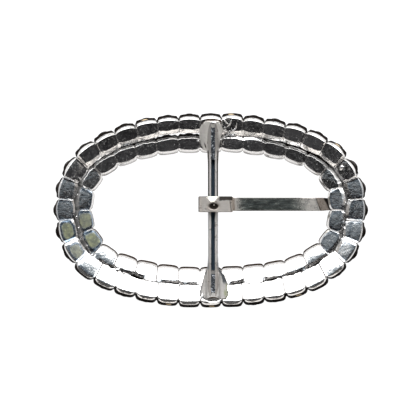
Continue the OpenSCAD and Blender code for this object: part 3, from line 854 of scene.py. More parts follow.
# %% Table of the runs of solder
SOLDER_RUNS = [
    # x, y, length, width, height, turn in degrees
    (3.2, 16.5, 2.7, 0.56, 0.46, 42), (3.98, 16.95, 2.4, 0.46, 0.42, 46),
    (2.3, 19.4, 2.0, 0.36, 0.42, -68), (2.85, 19.8, 1.7, 0.36, 0.40, -50),
    (3.38, 19.3, 1.6, 0.34, 0.36, -50), (4.1, 18.9, 1.9, 0.40, 0.40, 56),
    (3.95, 20.15, 1.3, 0.62, 0.26, 8), (5.6, 18.4, 1.4, 0.34, 0.26, 80), (2.9, 17.6, 1.3, 1.0, 0.20, 70),
    (5.0, 17.6, 1.5, 0.34, 0.24, 30), (2.7, 15.2, 1.6, 0.7, 0.22, 80), (0.55, 19.12, 1.35, 0.6, 0.22, 2),
    (2.0, 19.0, 0.5, 0.4, 0.2, 30), (28.65, 9.25, 1.2, 0.9, 0.42, 60), (2.6, 16.9, 1.5, 0.4, 0.3, 75),
    (4.7, 16.6, 2.4, 0.5, 0.22, 8), (-2.6, 15.3, 0.9, 0.5, 0.2, 20), (3.9, -17.4, 2.6, 0.55, 0.24, 100),
    (3.2, -14.6, 1.9, 0.34, 0.24, -52), (-1.95, -18.9, 1.3, 0.5, 0.26, 75),
    (0.6, -19.75, 4.0, 1.2, 0.20, 3), (0.5, -19.22, 2.5, 0.20, 0.30, 2),
    (1.5, -20.0, 2.3, 0.13, 0.30, 14), (-2.2, -16.4, 1.5, 0.4, 0.22, 80),
    (-10.4, -16.3, 1.2, 0.55, 0.2, 10), (-14.9, -15.6, 0.9, 0.6, 0.2, 40),
    (-20.4, -13.1, 1.2, 0.95, 0.34, 20), (-18.9, -13.9, 0.85, 0.65, 0.26, 0),
    (-6.7, -16.4, 0.95, 0.85, 0.30, 40), (-29.45, -1.6, 0.8, 0.45, 0.34, 85),
    (-29.05, -4.2, 1.1, 0.5, 0.38, 75), (-28.5, -6.4, 0.8, 0.45, 0.34, 60),
    (-27.6, -8.2, 1.1, 0.55, 0.38, 55), (-29.3, 3.4, 0.7, 0.45, 0.3, 100),
    (-28.6, 6.7, 1.2, 0.5, 0.36, 110), (-27.5, 4.9, 1.4, 0.4, 0.3, 150), (29.6, 1.6, 0.8, 0.35, 0.3, 85),
    (29.3, -4.0, 0.9, 0.4, 0.3, 105),
]
DARK_RUNS = {(0.5, -19.22): 1.0, (1.5, -20.0): 0.9}
print("runs of solder:", len(SOLDER_RUNS), "dark ones:", len(DARK_RUNS))

# %% [markdown]
# ## The form of a run of solder
#
# A run is a drop-shaped blob that is bent a little. Metaballs would melt the drops together, but
# their size is hard to hold, so each drop is a stretched ball with an uneven radius. A ray that is
# cast down on the metal finds the height at which the drop is seated, and its slope.

# %% Lay the runs of solder
RAY_START, LOWEST_SEAT = 0.02, 2.0
SOLDER_SINK = 0.05
LIP_END, LIP_LEAN = -18.5, -0.55
seats = (outer_cups, inner_cups, crossbar, *pads)
surfaces = [BVHTree.FromObject(piece, bpy.context.evaluated_depsgraph_get()) for piece in seats]


def height_at(x, y):
    start, down = Vector((x * MM, y * MM, RAY_START)), Vector((0, 0, -1))
    hits = [surface.ray_cast(start, down)[0] for surface in surfaces]
    return max([hit.z / MM for hit in hits if hit] + [LOWEST_SEAT])


def blob(x, y, length, width, height, turn, seed):
    lat, lon = np.linspace(0.02, np.pi - 0.02, 19), np.linspace(0, 2 * np.pi, 36, endpoint=False)
    theta, phi = np.meshgrid(lat, lon, indexing="ij")
    px, py, pz = np.sin(theta) * np.cos(phi), np.sin(theta) * np.sin(phi), np.cos(theta)
    swell = 1 + 0.22 * wavy(px * 2.6 + seed, py * 2.6, seed + 40)
    bend = 0.12 * length * np.sin(seed * 1.7) * (px ** 2 - 0.4)
    px, py, pz = px * swell * length / 2, py * swell * width / 2 + bend, pz * swell * height
    c, s = np.cos(np.radians(turn)), np.sin(np.radians(turn))
    bx, by = x + px * c - py * s, y + px * s + py * c
    levels = [height_at(x + u * length * 0.35 * c, y + u * length * 0.35 * s) for u in (-1, 0, 1)]
    slope = (levels[2] - levels[0]) / (0.7 * length)
    lean = LIP_LEAN if y < LIP_END else 0.0
    level = max(levels) if (x, y) in DARK_RUNS else np.mean(levels) - SOLDER_SINK
    return np.stack([bx, by, level + px * slope + (by - y) * lean * c + pz], axis=-1)


solder_points, solder_faces, solder_dark = [], [], []
for k, run in enumerate(SOLDER_RUNS):
    grid = blob(*run, k)
    solder_faces += tube_faces(*grid.shape[:2], len(solder_dark))
    solder_points.append(grid.reshape(-1, 3))
    solder_dark += [DARK_RUNS.get(run[:2], 0.0)] * len(solder_points[-1])
solder = add_mesh("solder_runs", np.concatenate(solder_points), solder_faces)
store(solder, "shade_and_tarnish", solder_dark)
print("points in the runs of solder:", len(solder_dark))

# %% [markdown]
# ## Solder in the seam
#
# At both ends the seam of the bar is filled with crumbs of solder and flux. Hundreds of small grains
# would be true to life and slow. A strip of small random bumps with a speckled material looks the
# same at this size.

# %% Fill the seams
FILLING_HALF = 0.46


def seam_filling(start, end, seed):
    rng = np.random.default_rng(seed)
    gx, gy = np.meshgrid(np.linspace(-FILLING_HALF, FILLING_HALF, 15), np.linspace(start, end, 120))
    bumps = 0.07 * wavy(gx * 7, gy * 7, seed) + 0.05 * rng.uniform(-1, 1, gx.shape)
    level = bar_middle(gy) + bar_radius(gy) - 0.40
    top = np.stack([BAR_X + gx, gy, level + bumps], axis=-1)
    low = np.stack([BAR_X + gx, gy, level - 0.5], axis=-1)[:, ::-1]
    return np.concatenate([top, low], axis=1)


fillings = []
for name, start, end, seed in (("top_filling", 11.0, 19.2, 3), ("low_filling", -19.2, -14.0, 4)):
    points = seam_filling(start, end, seed)
    fillings.append(add_mesh(name, points, slab_faces(*points.shape[:2])))
    print(name, "from", start, "to", end)

# %% [markdown]
# ## The tongue
#
# The tongue is a flat strip. It starts under the bar, wraps round its left side, steps down and runs
# to the far rim. The route of the strip is the list of corners of the solid model, each rounded to
# its bend radius. A curve object with a bevel could follow the same route, but its points couldn't
# be pressed in one by one for the punch mark. So the route is a plain list of points. Three things
# make the strip look like the real one: the punch mark that grips the bar, the slanted bend near
# the tip, and a width that narrows beyond the head.

# %% Route of the strip
STRIP_T, HEAD_W, PRONG_W, TONGUE_Y = 0.6, 3.48, 2.9, 1.26
HEAD_L, HEAD_R = 2.92, 3.45
WRAP_Z = BAR_R + 0.3 + STRIP_T / 2
TIP_Z = 0.06 + STRIP_T / 2
ROUTE = [
    # x, height of the strip's middle line, bend radius
    (BAR_X + HEAD_R - 0.7, BAR_Z - WRAP_Z, 0),
    (BAR_X - HEAD_L, BAR_Z - WRAP_Z, 0.95),
    (BAR_X - HEAD_L, BAR_Z + WRAP_Z, 0.95),
    (BAR_X + HEAD_R + 0.15, BAR_Z + WRAP_Z, 0.7),
    (BAR_X + HEAD_R + 1.0, BAR_Z + 0.05, 0.9),
    (20.6, 1.82, 14), (23.1, 1.66, 1.6), (26.6, TIP_Z, 3), (30.6, TIP_Z, 0),
]


def rounded_route(route):
    points = [np.array(route[0][:2])]
    for before, here, after in zip(route, route[1:], route[2:]):
        p = np.array(here[:2])
        u, v = np.array(before[:2]) - p, np.array(after[:2]) - p
        u, v = u / np.linalg.norm(u), v / np.linalg.norm(v)
        open_angle = np.arccos(np.clip(u @ v, -1, 1))
        reach = here[2] / np.tan(open_angle / 2)
        middle = p + (u + v) / np.linalg.norm(u + v) * here[2] / np.sin(open_angle / 2)
        start = p + reach * u - middle
        turn = -(np.pi - open_angle) * np.sign(u[0] * v[1] - u[1] * v[0])
        for w in np.linspace(0, turn, max(3, int(abs(turn) / 0.12))):
            c, s = np.cos(w), np.sin(w)
            points.append(middle + np.array([start[0] * c - start[1] * s, start[0] * s + start[1] * c]))
    points.append(np.array(route[-1][:2]))
    fine = [points[0]]
    for a, b in zip(points, points[1:]):
        on_head = b[0] < 5 and b[1] > BAR_Z
        steps = max(1, int(np.ceil(np.linalg.norm(b - a) / (0.055 if on_head else 0.16))))
        fine += [a + (b - a) * k / steps for k in range(1, steps + 1)]
    return np.array(fine)


route = rounded_route(ROUTE)
tangent = np.gradient(route, axis=0)
tangent /= np.linalg.norm(tangent, axis=1, keepdims=True)
upward = np.stack([-tangent[:, 1], tangent[:, 0]], axis=1)
upper_leg = np.arange(len(route)) > np.argmin(route[:, 0])
print("points along the strip:", len(route))

# %% [markdown]
# ## Width and punch mark of the strip
#
# The head is wider than the prong, and a punch has driven its metal down onto the bar: a notch in
# three corners at the upper edge, and a crater below its point with a small burr inside. A boolean
# cut would leave sharp edges and poor faces. Here the mark is a depth at every place of the head,
# so its slopes are as soft as those of pressed metal.

# %% Width and punch mark of the strip
SHOULDER_X = BAR_X + HEAD_R + 0.45
TIP_X = ROUTE[-1][0]
NOTCH_AT = (0.36, 1.72)
NOTCH_L = 1.25
CRATER_AT, CRATER_HALF = (0.66, 0.86), (1.30, 0.92)
BURR_AT = (0.71, 1.02)


def half_width(x, on_top):
    head = HEAD_W / 2 - (HEAD_W - PRONG_W) / 2 * smoothstep(0, 0.45, x - SHOULDER_X)
    taper = 0.45 * np.clip((x - (TIP_X - 6)) / 5.3, 0, 1)
    taper = taper + 0.75 * np.clip((x - (TIP_X - 0.7)) / 0.7, 0, 1) ** 2
    return np.where(on_top, head - taper, HEAD_W / 2)


def notch_share(x, y):
    """1 on the three-cornered notch that opens to the upper edge of the head."""
    v = (y - NOTCH_AT[1]) / NOTCH_L
    half = 0.22 + 1.30 * np.clip(v, 0, 1) ** 0.9
    return (1 - smoothstep(0.80, 1.0, np.abs(x - NOTCH_AT[0]) / half)) * (v > 0)


def crater_radius(x, y):
    """Distance from the crater's middle, where 1 is its uneven rim."""
    uneven = 1 + 0.12 * wavy(x * 1.6, y * 1.6, 33)
    return np.hypot((x - CRATER_AT[0]) / CRATER_HALF[0], (y - CRATER_AT[1]) / CRATER_HALF[1]) * uneven


def punch_depth(x, y):
    """Depth of the punch mark: a notch at the upper edge, and a crater below its point."""
    notch = 0.42 * np.clip((y - NOTCH_AT[1]) / NOTCH_L, 0, 1) * notch_share(x, y)
    radius = crater_radius(x, y)
    crater = 0.32 * (1 - smoothstep(0.15, 1.05, radius)) * (1 - smoothstep(1.5, 2.0, y))
    rim = 0.004 * np.exp(-((radius - 1.1) / 0.16) ** 2)
    burr = 0.20 * np.exp(-((x - BURR_AT[0]) ** 2 + (y - BURR_AT[1]) ** 2) / 0.012)
    return notch + crater - burr - rim


print("depth of the crater:", round(float(punch_depth(CRATER_AT[0] + 0.3, CRATER_AT[1])), 2))

# %% [markdown]
# ## Lofting the tongue
#
# A closed loop with rounded edges is set across the strip at every point of the route. A plane with
# a solidify and a bevel modifier would be shorter to write, but the punch mark has to press the top
# alone, and the bend near the tip runs slanted across the strip. Both are easy when each point of
# the loop is placed one by one.

# %% Loft the tongue
EDGE_R = 0.13
HEAD_END = 4
SLANT_END, SLANT_W = 2.66, 2.86


def strip_ring(w):
    """The closed loop across the strip for a half width w, as across and height."""
    r = min(EDGE_R, w * 0.4)
    flat, top = w - r, STRIP_T / 2
    corner = np.linspace(0, np.pi / 2, 5)
    ring = [(flat * t, top) for t in np.linspace(-1, 1, 61)]
    ring += [(flat + r * np.sin(t), top - r + r * np.cos(t)) for t in corner[1:]]
    ring += [(flat + r * np.cos(t), -top + r - r * np.sin(t)) for t in corner]
    ring += [(flat * t, -top) for t in np.linspace(1, -1, 9)[1:-1]]
    ring += [(-flat - r * np.sin(t), -top + r - r * np.cos(t)) for t in corner]
    ring += [(-flat - r * np.cos(t), top - r + r * np.sin(t)) for t in corner[:-1]]
    return np.array(ring)


rings = []
for k, (x, z) in enumerate(route):
    turned_in = 0.30 * float(np.clip((-2.2 - x) / 0.5, 0, 1)) ** 2
    ring = strip_ring(float(half_width(x, upper_leg[k])) - turned_in)
    y = TONGUE_Y + ring[:, 0]
    slant = (SLANT_END - y) / SLANT_W * float(smoothstep(20, 22.5, x) * (1 - smoothstep(25, 27, x)))
    level = np.full(len(y), z)
    if x > 8:
        level = np.interp(x - slant, route[upper_leg][:, 0], route[upper_leg][:, 1])
    lift = ring[:, 1]
    if upper_leg[k] and x < HEAD_END:
        lift = (lift + STRIP_T / 2) * (1 - punch_depth(x, y) / STRIP_T) - STRIP_T / 2
    rings.append(np.stack([x + lift * upward[k, 0], y, level + lift * upward[k, 1]], axis=1))
tongue_points = np.array(rings)
tongue = add_mesh("tongue_strip", tongue_points, tube_faces(*tongue_points.shape[:2]))
print("tongue faces:", len(tongue.data.polygons), "reaches", round(float(tongue_points[..., 0].max()), 2))

# %% [markdown]
# ## Wear, painted light and painted shade of the strip
#
# The head is worn to a dull satin, and the long prong is still a dark mirror. Both bends and the ring
# round the crater are brown with painted shade, and the paler stretch before the tip is painted light.
# The same three numbers as on the bar say so: shade, wear and film. Each mark is a soft band or spot
# in the strip's own place, which is quicker to adjust than a painted picture.

# %% Wear and film of the strip, with painted light and shade
tx, ty = tongue_points[..., 0], tongue_points[..., 1]
upper = np.repeat(upper_leg[:, None], tx.shape[1], axis=1)
strip_half = np.array([float(half_width(x, u)) for x, u in zip(route[:, 0], upper_leg)])[:, None]
edge_share = np.abs(ty - TONGUE_Y) / strip_half
radius = crater_radius(tx, ty)
below_top, below_edge = 2.79 - ty, 2.8 - ty
slant_line = tx - below_top * 0.27
patchy = 0.5 * wavy(tx * 0.9, ty * 1.5, 71)
# The second term paints a paler stretch before the tip: painted light.
wear_and_sheen = 1 - smoothstep(4.9, 7.6, tx + patchy) + 0.9 * smoothstep(16.8, 22.2, slant_line + patchy)
wear_and_sheen = wear_and_sheen * (1 - notch_share(tx, ty) * upper * (tx < HEAD_END))
# Brown painted shade at the step, beyond the slanted bend near the tip and round the crater.
film_and_shade = np.exp(-((tx - 4.75 - 0.1 * below_edge) / 0.42) ** 2) + smoothstep(23.1, 23.4, slant_line)
film_and_shade = film_and_shade + 0.6 * (1 - smoothstep(0.9, 1.5, radius)) * (tx < HEAD_END)
store(tongue, "wear_and_sheen", np.clip(wear_and_sheen, 0, 1))
store(tongue, "film_and_shade", np.clip(film_and_shade, 0, 1))
print("worn share of the tongue:", round(float((wear_and_sheen > 0.5).mean()), 2))

# %% [markdown]
# ## Painted shade of the strip
#
# Dark lines of painted shade follow the edges and bends, and painted shade lies in the crater, in a
# band along the head's upper edge and where the tip slips under the cups. Each line below has a name
# for the place it stands for, and the darkest of them counts at each vertex. Adding them up would turn
# the places where two meet too dark.

# %% Painted shade of the strip
around_burr = np.hypot(tx - BURR_AT[0], ty - BURR_AT[1] - 0.05) > 0.12
crater = (1 - smoothstep(0.62, 1.02, radius)) * around_burr * (1 - notch_share(tx, ty))
crater = crater * (1 - smoothstep(1.45, 1.75, ty + 0.25 * np.abs(tx - 0.5)))
band = smoothstep(1.94, 2.20, ty + 0.12 * wavy(tx, ty, 61))
band = band * smoothstep(1.70, 1.95, tx) * (1 - smoothstep(4.6, 4.9, tx))
rail = smoothstep(0.80, 0.93, edge_share) * smoothstep(5.2, 6.2, tx) * (1 - smoothstep(18.5, 21.5, tx))
tip_shade = smoothstep(24.7, 24.9, tx - below_top * 0.50)
left_edge = (1 - smoothstep(-2.56, -2.36, tx)) * 0.85
step_line = np.exp(-((tx - 4.12 - 0.12 * below_edge) / 0.12) ** 2)
step_line = step_line + np.exp(-((tx - 5.15) / 0.08) ** 2) * 0.5
outline = smoothstep(0.90, 0.95, edge_share) * np.where(ty > TONGUE_Y, 0.85 * (tx < -0.7), 0.35) * (tx < 5)
bend_line = 0.9 * np.exp(-((tx - below_top * 0.40 - 23.1) / 0.14) ** 2)
# All of these are painted shade.
dark = np.maximum.reduce([
    crater * (tx < 3), band * 0.93, rail * 0.88, tip_shade, left_edge, step_line * 0.85, outline, bend_line])
store(tongue, "shade_and_tarnish", np.clip(dark, 0, 1))
print("dark share of the tongue:", round(float((dark > 0.5).mean()), 2))

# %% [markdown]
# ## The stones
#
# A rhinestone is cut glass: an eight-sided table, eight stars, eight kites and sixteen small facets
# round the girdle in front, and a pointed back. Its back is silvered, and a golden-brown lacquer
# protects the silver. So each stone is three surfaces: the glass, a silver foil just behind it, and
# the lacquer behind the foil, which is all that shows from the buckle's back. A cone with a flat top
# would do for the glass from far away, but close up the facets are what makes it sparkle.

# %% Cut the stones
SIDES = 8
KITE_SHARE = 0.45
MID_R = (TABLE_R + KITE_SHARE * (STONE_R - TABLE_R)) / np.cos(np.pi / SIDES)
MID_LOW = TABLE_LOW + KITE_SHARE * CROWN_H


def ring_points(radius, height, count, shift=0.0):
    turn = 2 * np.pi * (np.arange(count) + shift) / count
    return [(radius * np.cos(t), radius * np.sin(t), height) for t in turn]


def stone_shape():
    n = SIDES
    points = ring_points(TABLE_R, TABLE_LOW, n) + ring_points(MID_R, MID_LOW, n, 0.5)
    points += ring_points(STONE_R, GIRDLE_TOP - GIRDLE_T, 2 * n) + ring_points(STONE_R, GIRDLE_TOP, 2 * n)
    points.append((0, 0, GIRDLE_TOP + PAVILION_H))
    g, t, tip = 2 * n, 4 * n, 6 * n
    faces = [tuple(range(n))]
    for i in range(n):
        faces.append((i, n + i, (i + 1) % n))
        faces.append((i, n + (i - 1) % n, g + 2 * i, n + i))
        faces.append((n + i, g + 2 * i, g + 2 * i + 1))
        faces.append((n + i, g + 2 * i + 1, g + (2 * i + 2) % (2 * n)))
    for i in range(2 * n):
        after = (i + 1) % (2 * n)
        faces.append((g + i, t + i, t + after, g + after))
        faces.append((t + i, tip, t + after))
    return np.array(points), faces


stone_points, stone_faces = stone_shape()
print("faces on each stone:", len(stone_faces), "depth:", round(float(np.ptp(stone_points[:, 2])), 2))

# %% [markdown]
# ## Foil and lacquer
#
# The foil and the lacquer are thin cones behind the stone, and the lacquer has a hem over the girdle.
# A copy of the stone that is scaled up would cover the front too. So both are turned from a short
# outline, as on a lathe, and differ only in their gap to the stone, their hem and their thickness.

# %% Turn the foil and the lacquer
def foil_shape(gap, hem, thickness):
    """A thin cone behind the pavilion, with a hem over the girdle."""
    n = 4 * SIDES
    near, far, tip = STONE_R + gap, GIRDLE_TOP + gap, GIRDLE_TOP + PAVILION_H + gap
    outline = [
        (near, GIRDLE_TOP - hem), (near, far), (0.0, tip), (0.0, tip + thickness),
        (near + thickness, far + thickness), (near + thickness, GIRDLE_TOP - hem),
    ]
    points = []
    for radius, height in outline:
        points += ring_points(max(radius, 1e-3), height, n)
    return np.array(points), grid_faces(len(outline), n, True, True)


foil_cone, lacquer_cone = foil_shape(0.004, 0.0, 0.004), foil_shape(0.014, 0.15, 0.02)
print("faces on each foil:", len(foil_cone[1]), "and on each lacquer:", len(lacquer_cone[1]))

# %% [markdown]
# ## Setting the stones
#
# One function sets any such shape into every cup of a row and bends it with the arch. Instances
# would need less memory, but they could not be bent. All stones of a row are one mesh, because
# nobody moves them one by one.

# %% Set the stones
def set_shapes(name, rows, shape):
    points, faces, count = [], [], 0
    local, local_faces = shape
    for row in rows:
        for i in range(len(row["middle"])):
            x, y, z = local.T[:, :, None]
            placed = row["middle"][i] + (x + row["slide"][i]) * row["outward"][i]
            placed = placed + y * row["along"][i] + z * row["back"][i]
            points.append(arched(placed))
            faces += [tuple(count + v for v in face) for face in local_faces]
            count += len(local)
    return add_mesh(name, np.concatenate(points), faces, smooth=False)


outer_row["slide"] = np.clip(0.6 * np.array(SLIP["outer"]), -0.15, 0)
inner_row["slide"] = np.zeros(INNER_CUPS)
outer_crystals = set_shapes("outer_crystals", [outer_row], (stone_points, stone_faces))
inner_crystals = set_shapes("inner_crystals", [inner_row], (stone_points, stone_faces))
foil = set_shapes("silver_foil", [outer_row, inner_row], foil_cone)
lacquer = set_shapes("foil_lacquer", [outer_row, inner_row], lacquer_cone)
on_hem = np.hypot(lacquer_cone[0][:, 0], lacquer_cone[0][:, 1]) > STONE_R
store(lacquer, "hem", np.tile(on_hem.astype(float), OUTER_CUPS + INNER_CUPS))
print("stones:", OUTER_CUPS + INNER_CUPS)

# %% [markdown]
# ## Helpers for materials
#
# A material is a small graph of nodes. It can be clicked together in the shader editor, but a script
# makes the same graph every time. The helpers below add a node, set its sockets and join it to
# others in one line, so that the cells after them read like a recipe.

# %% Node helpers
FLOAT, VECTOR = "NodeSocketFloat", "NodeSocketVector"


def plug_in(tree, node, values):
    """Give each named input a plain value, or a link from another node's output."""
    for socket, value in values.items():
        if hasattr(value, "is_output"):
            tree.links.new(value, node.inputs[socket])
        else:
            node.inputs[socket].default_value = value


def add_node(tree, kind, values=None, **settings):
    node = tree.nodes.new(kind)
    for key, value in settings.items():
        setattr(node, key, value)
    plug_in(tree, node, values or {})
    return node


def maths(tree, operation, *values):
    return add_node(tree, "ShaderNodeMath", dict(enumerate(values)), operation=operation).outputs[0]


def ranged(tree, value, low, high, to_low=0.0, to_high=1.0):
    return add_node(tree, "ShaderNodeMapRange", {
        "Value": value, "From Min": low, "From Max": high, "To Min": to_low, "To Max": to_high}).outputs[0]


def mix_colour(tree, amount, first, second):
    return add_node(tree, "ShaderNodeMix", {0: amount, 6: first, 7: second}, data_type="RGBA").outputs[2]


print("node helpers ready")

# %% [markdown]
# ## Stored numbers, bumps and new materials
#
# An attribute node reads the numbers that were stored on the vertices, which is how tarnish gets from
# the mesh into the material. A bump node turns a height into tilted normals: it is right for relief
# that is too fine for the mesh. A group needs its sockets named before it can be placed anywhere.

# %% Attribute, bump, group and material helpers
def stored(tree, name):
    """The number that was stored on the vertices under this name."""
    return add_node(tree, "ShaderNodeAttribute", attribute_name=name).outputs["Fac"]


def bumped(tree, height, strength, distance, more=None):
    values = {"Height": height, "Strength": strength, "Distance": distance}
    return add_node(tree, "ShaderNodeBump", {**values, **(more or {})}).outputs[0]


def new_group(name, inputs, outputs):
    tree = bpy.data.node_groups.new(name, "ShaderNodeTree")
    for label, kind, value in inputs:
        socket = tree.interface.new_socket(label, in_out="INPUT", socket_type=kind)
        if value is not None:
            socket.default_value = value
    for label in outputs:
        tree.interface.new_socket(label, in_out="OUTPUT", socket_type=FLOAT)
    return tree, tree.nodes.new("NodeGroupInput").outputs, tree.nodes.new("NodeGroupOutput")


def new_material(name):
    material = bpy.data.materials.new(name)
    material.use_nodes = True
    return material, material.node_tree, material.node_tree.nodes["Principled BSDF"]


print("group and material helpers ready")

# %% [markdown]
# ## Shared effects
#
# Two effects turn up in several finishes. The skin of a casting, of solder or of lacquer is uneven at
# several scales, and brushing runs one way. The same nodes could be copied into each material, but
# then a correction would have to be made in all of them. Each effect is a node group with named
# sockets instead, built once and placed in the materials with its own values.

# %% Node group: uneven skin of a casting
cast_skin, entry, result = new_group(
    "cast_skin",
    [("Vector", VECTOR, None), ("Pit Size", FLOAT, 0.3), ("Wave Size", FLOAT, 1.2),
     ("Speck Size", FLOAT, 0.16)],
    ["Height", "Mottle", "Specks"],
)


def in_mm(tree, vector):
    return add_node(tree, "ShaderNodeVectorMath", {0: vector, "Scale": 1000.0}, operation="SCALE").outputs[0]


def sized_noise(tree, vector, size, detail, roughness=0.5):
    """Noise whose grains have a size in millimetres."""
    scale = maths(tree, "DIVIDE", 1.0, size)
    values = {"Vector": vector, "Scale": scale, "Detail": detail, "Roughness": roughness}
    return add_node(tree, "ShaderNodeTexNoise", values).outputs[0]


place = in_mm(cast_skin, entry["Vector"])
pits = sized_noise(cast_skin, place, entry["Pit Size"], 3.0, 0.55)
waves = sized_noise(cast_skin, place, entry["Wave Size"], 2.0)
dust = sized_noise(cast_skin, place, entry["Speck Size"], 2.0, 0.6)
plug_in(cast_skin, result, {
    "Height": maths(cast_skin, "MULTIPLY_ADD", waves, 0.8, pits),
    "Mottle": waves,
    "Specks": ranged(cast_skin, dust, 0.55, 0.72),
})


def add_skin(tree, pit, wave, speck=0.16):
    """Place the group in a material, on the object's own coordinates, and give back its outputs."""
    place = add_node(tree, "ShaderNodeTexCoord").outputs["Object"]
    values = {"Vector": place, "Pit Size": pit, "Wave Size": wave, "Speck Size": speck}
    return add_node(tree, "ShaderNodeGroup", values, node_tree=cast_skin).outputs


print("group ready:", cast_skin.name)

# %% [markdown]
# ## Brushing
#
# A strip that was drawn through rollers and brushed has fine lines along its length. Noise that is
# squeezed along one axis gives such lines at any size, where a picture of scratches would blur
# close up. The height roughens the surface, and the broad streaks vary its colour.

# %% Node group: brushing along one axis
brushing, entry, result = new_group(
    "brushing",
    [("Vector", VECTOR, None), ("Squeeze", VECTOR, (0.05, 1.0, 1.0)), ("Line Size", FLOAT, 0.08)],
    ["Height", "Streak"],
)
squeezed = add_node(
    brushing, "ShaderNodeVectorMath", {0: entry["Vector"], 1: entry["Squeeze"]}, operation="MULTIPLY")
place = in_mm(brushing, squeezed.outputs[0])
broad = add_node(brushing, "ShaderNodeTexNoise", {"Vector": place, "Scale": 2.5, "Detail": 2.0})
plug_in(brushing, result, {
    "Height": sized_noise(brushing, place, entry["Line Size"], 2.0), "Streak": broad.outputs[0]})


def add_brushing(tree, squeeze, line):
    place = add_node(tree, "ShaderNodeTexCoord").outputs["Object"]
    values = {"Vector": place, "Squeeze": squeeze, "Line Size": line}
    return add_node(tree, "ShaderNodeGroup", values, node_tree=brushing).outputs


print("group ready:", brushing.name)

# %% [markdown]
# ## The plated casting
#
# All the metal here is bright, so its look is what it mirrors. The base colour stays close to
# nickel, and roughness and bumps decide whether a face is a dark mirror or a pale satin. The painted
# shade is not a black metal but a dull layer: where it lies, the metal's share falls to nothing and
# the reflection with it. The stored numbers lay the stain, its border and the painted blue, the
# painted shade, the painted brown shade at the opening and the painted glint over the plating in turn.

# %% Plated casting
plate, tree, shader = new_material("plated_casting")
skin = add_skin(tree, 0.40, 0.9, 0.34)
shade_and_tarnish, olive = stored(tree, "shade_and_tarnish"), stored(tree, "olive")
fleck = maths(tree, "MULTIPLY_ADD", skin["Specks"], -0.75, 1.0)
border_and_blue_reflection = maths(tree, "MULTIPLY", stored(tree, "border_and_blue_reflection"), fleck)
olive_tone = mix_colour(
    tree, ranged(tree, skin["Mottle"], 0.35, 0.65), (0.20, 0.215, 0.17, 1), (0.36, 0.37, 0.23, 1))
base = mix_colour(tree, skin["Mottle"], (0.70, 0.67, 0.65, 1), (0.80, 0.79, 0.78, 1))
# In turn: border and painted blue, stain, painted shade, painted shade at the opening's edge, painted glint.
for amount, colour in (
    (border_and_blue_reflection, (0.19, 0.25, 0.32, 1)),
    (olive, olive_tone),
    (shade_and_tarnish, (0.008, 0.006, 0.005, 1)),
    (stored(tree, "painted_lip_shade"), (0.024, 0.014, 0.009, 1)),
    (stored(tree, "painted_glint"), (0.85, 0.66, 0.42, 1)),
):
    base = mix_colour(tree, amount, base, colour)
dull = maths(tree, "MULTIPLY_ADD", skin["Specks"], 0.30, maths(tree, "MULTIPLY", olive, 0.55))
dull = maths(tree, "MAXIMUM", dull, shade_and_tarnish)
rough = ranged(tree, skin["Mottle"], 0.42, 0.62, 0.07, 0.20)
plug_in(tree, shader, {
    "Base Color": base,
    "Metallic": ranged(tree, dull, 0.0, 1.0, 1.0, 0.0),
    "Specular IOR Level": ranged(tree, shade_and_tarnish, 0.0, 1.0, 0.5, 0.15),
    "IOR": ranged(tree, shade_and_tarnish, 0.0, 1.0, 1.5, 1.08),
    "Roughness": maths(tree, "MULTIPLY_ADD", shade_and_tarnish, 0.3, rough),
    "Normal": bumped(tree, skin["Height"], 0.35, 0.00010),
})
print("finish:", plate.name)

# %% [markdown]
# ## Satin of the bar and the tongue
#
# Both are nickel-plated steel strip. Where hands and leather rubbed it, it is pale and dull, and
# elsewhere it mirrors its dark surroundings, with its base colour darkened there as painted shade. A
# material for each patch would show a hard edge where two of them meet. So the stored numbers for
# wear, film and shade blend the colours of one material at every place, and one function makes it
# for the bar and for the tongue.

# %% Satin strip of the bar and the tongue
def satin_finish(name, squeeze, colours):
    """Brushed nickel. Wear dulls it, film turns it brown, painted shade darkens it, and brown shade is both
    at once.
    """
    keys = ("pale", "dark", "unworn", "film_and_shade", "shade_and_tarnish", "brown_shade")
    pale, dark, unworn, brown, darkest, brown_shade = ((*colours[key], 1) for key in keys)
    # Painted shade: in its darker streaks the unworn mirror's base colour falls to a third.
    shaded_mirror = (*(0.34 * part for part in colours["unworn"]), 1)
    material, tree, shader = new_material(name)
    brushed, cloud = add_brushing(tree, squeeze, 0.09), add_skin(tree, 0.45, 1.1, 0.3)
    shade_and_tarnish, wear_and_sheen, film_and_shade = stored(tree, "shade_and_tarnish"), stored(tree, "wear_and_sheen"), stored(tree, "film_and_shade")
    base = mix_colour(tree, brushed["Streak"], dark, pale)
    mirror = mix_colour(tree, ranged(tree, brushed["Streak"], 0.35, 0.65), shaded_mirror, unworn)
    base = mix_colour(tree, film_and_shade, mix_colour(tree, wear_and_sheen, mirror, base), brown)
    deepest = mix_colour(tree, ranged(tree, film_and_shade, 0.92, 1.0), darkest, brown_shade)
    dull = maths(tree, "MULTIPLY_ADD", film_and_shade, 0.25, maths(tree, "MULTIPLY", wear_and_sheen, 0.40))
    dull = maths(tree, "MULTIPLY_ADD", cloud["Specks"], 0.12, dull)
    dull = maths(tree, "MAXIMUM", dull, shade_and_tarnish)
    rough = ranged(tree, cloud["Mottle"], 0.35, 0.65, 0.12, 0.26)
    lines = bumped(tree, brushed["Height"], 0.3, 0.00004)
    plug_in(tree, shader, {
        "Base Color": mix_colour(tree, shade_and_tarnish, base, deepest),
        "Metallic": ranged(tree, dull, 0.0, 1.0, 1.0, 0.0),
        "Roughness": maths(tree, "MULTIPLY_ADD", wear_and_sheen, 0.14, rough),
        "Specular IOR Level": ranged(tree, shade_and_tarnish, 0.0, 1.0, 0.5, 0.1),
        "IOR": ranged(tree, shade_and_tarnish, 0.0, 1.0, 1.5, 1.1),
        "Normal": bumped(tree, cloud["Height"], 0.3, 0.00006, {"Normal": lines}),
    })
    return material


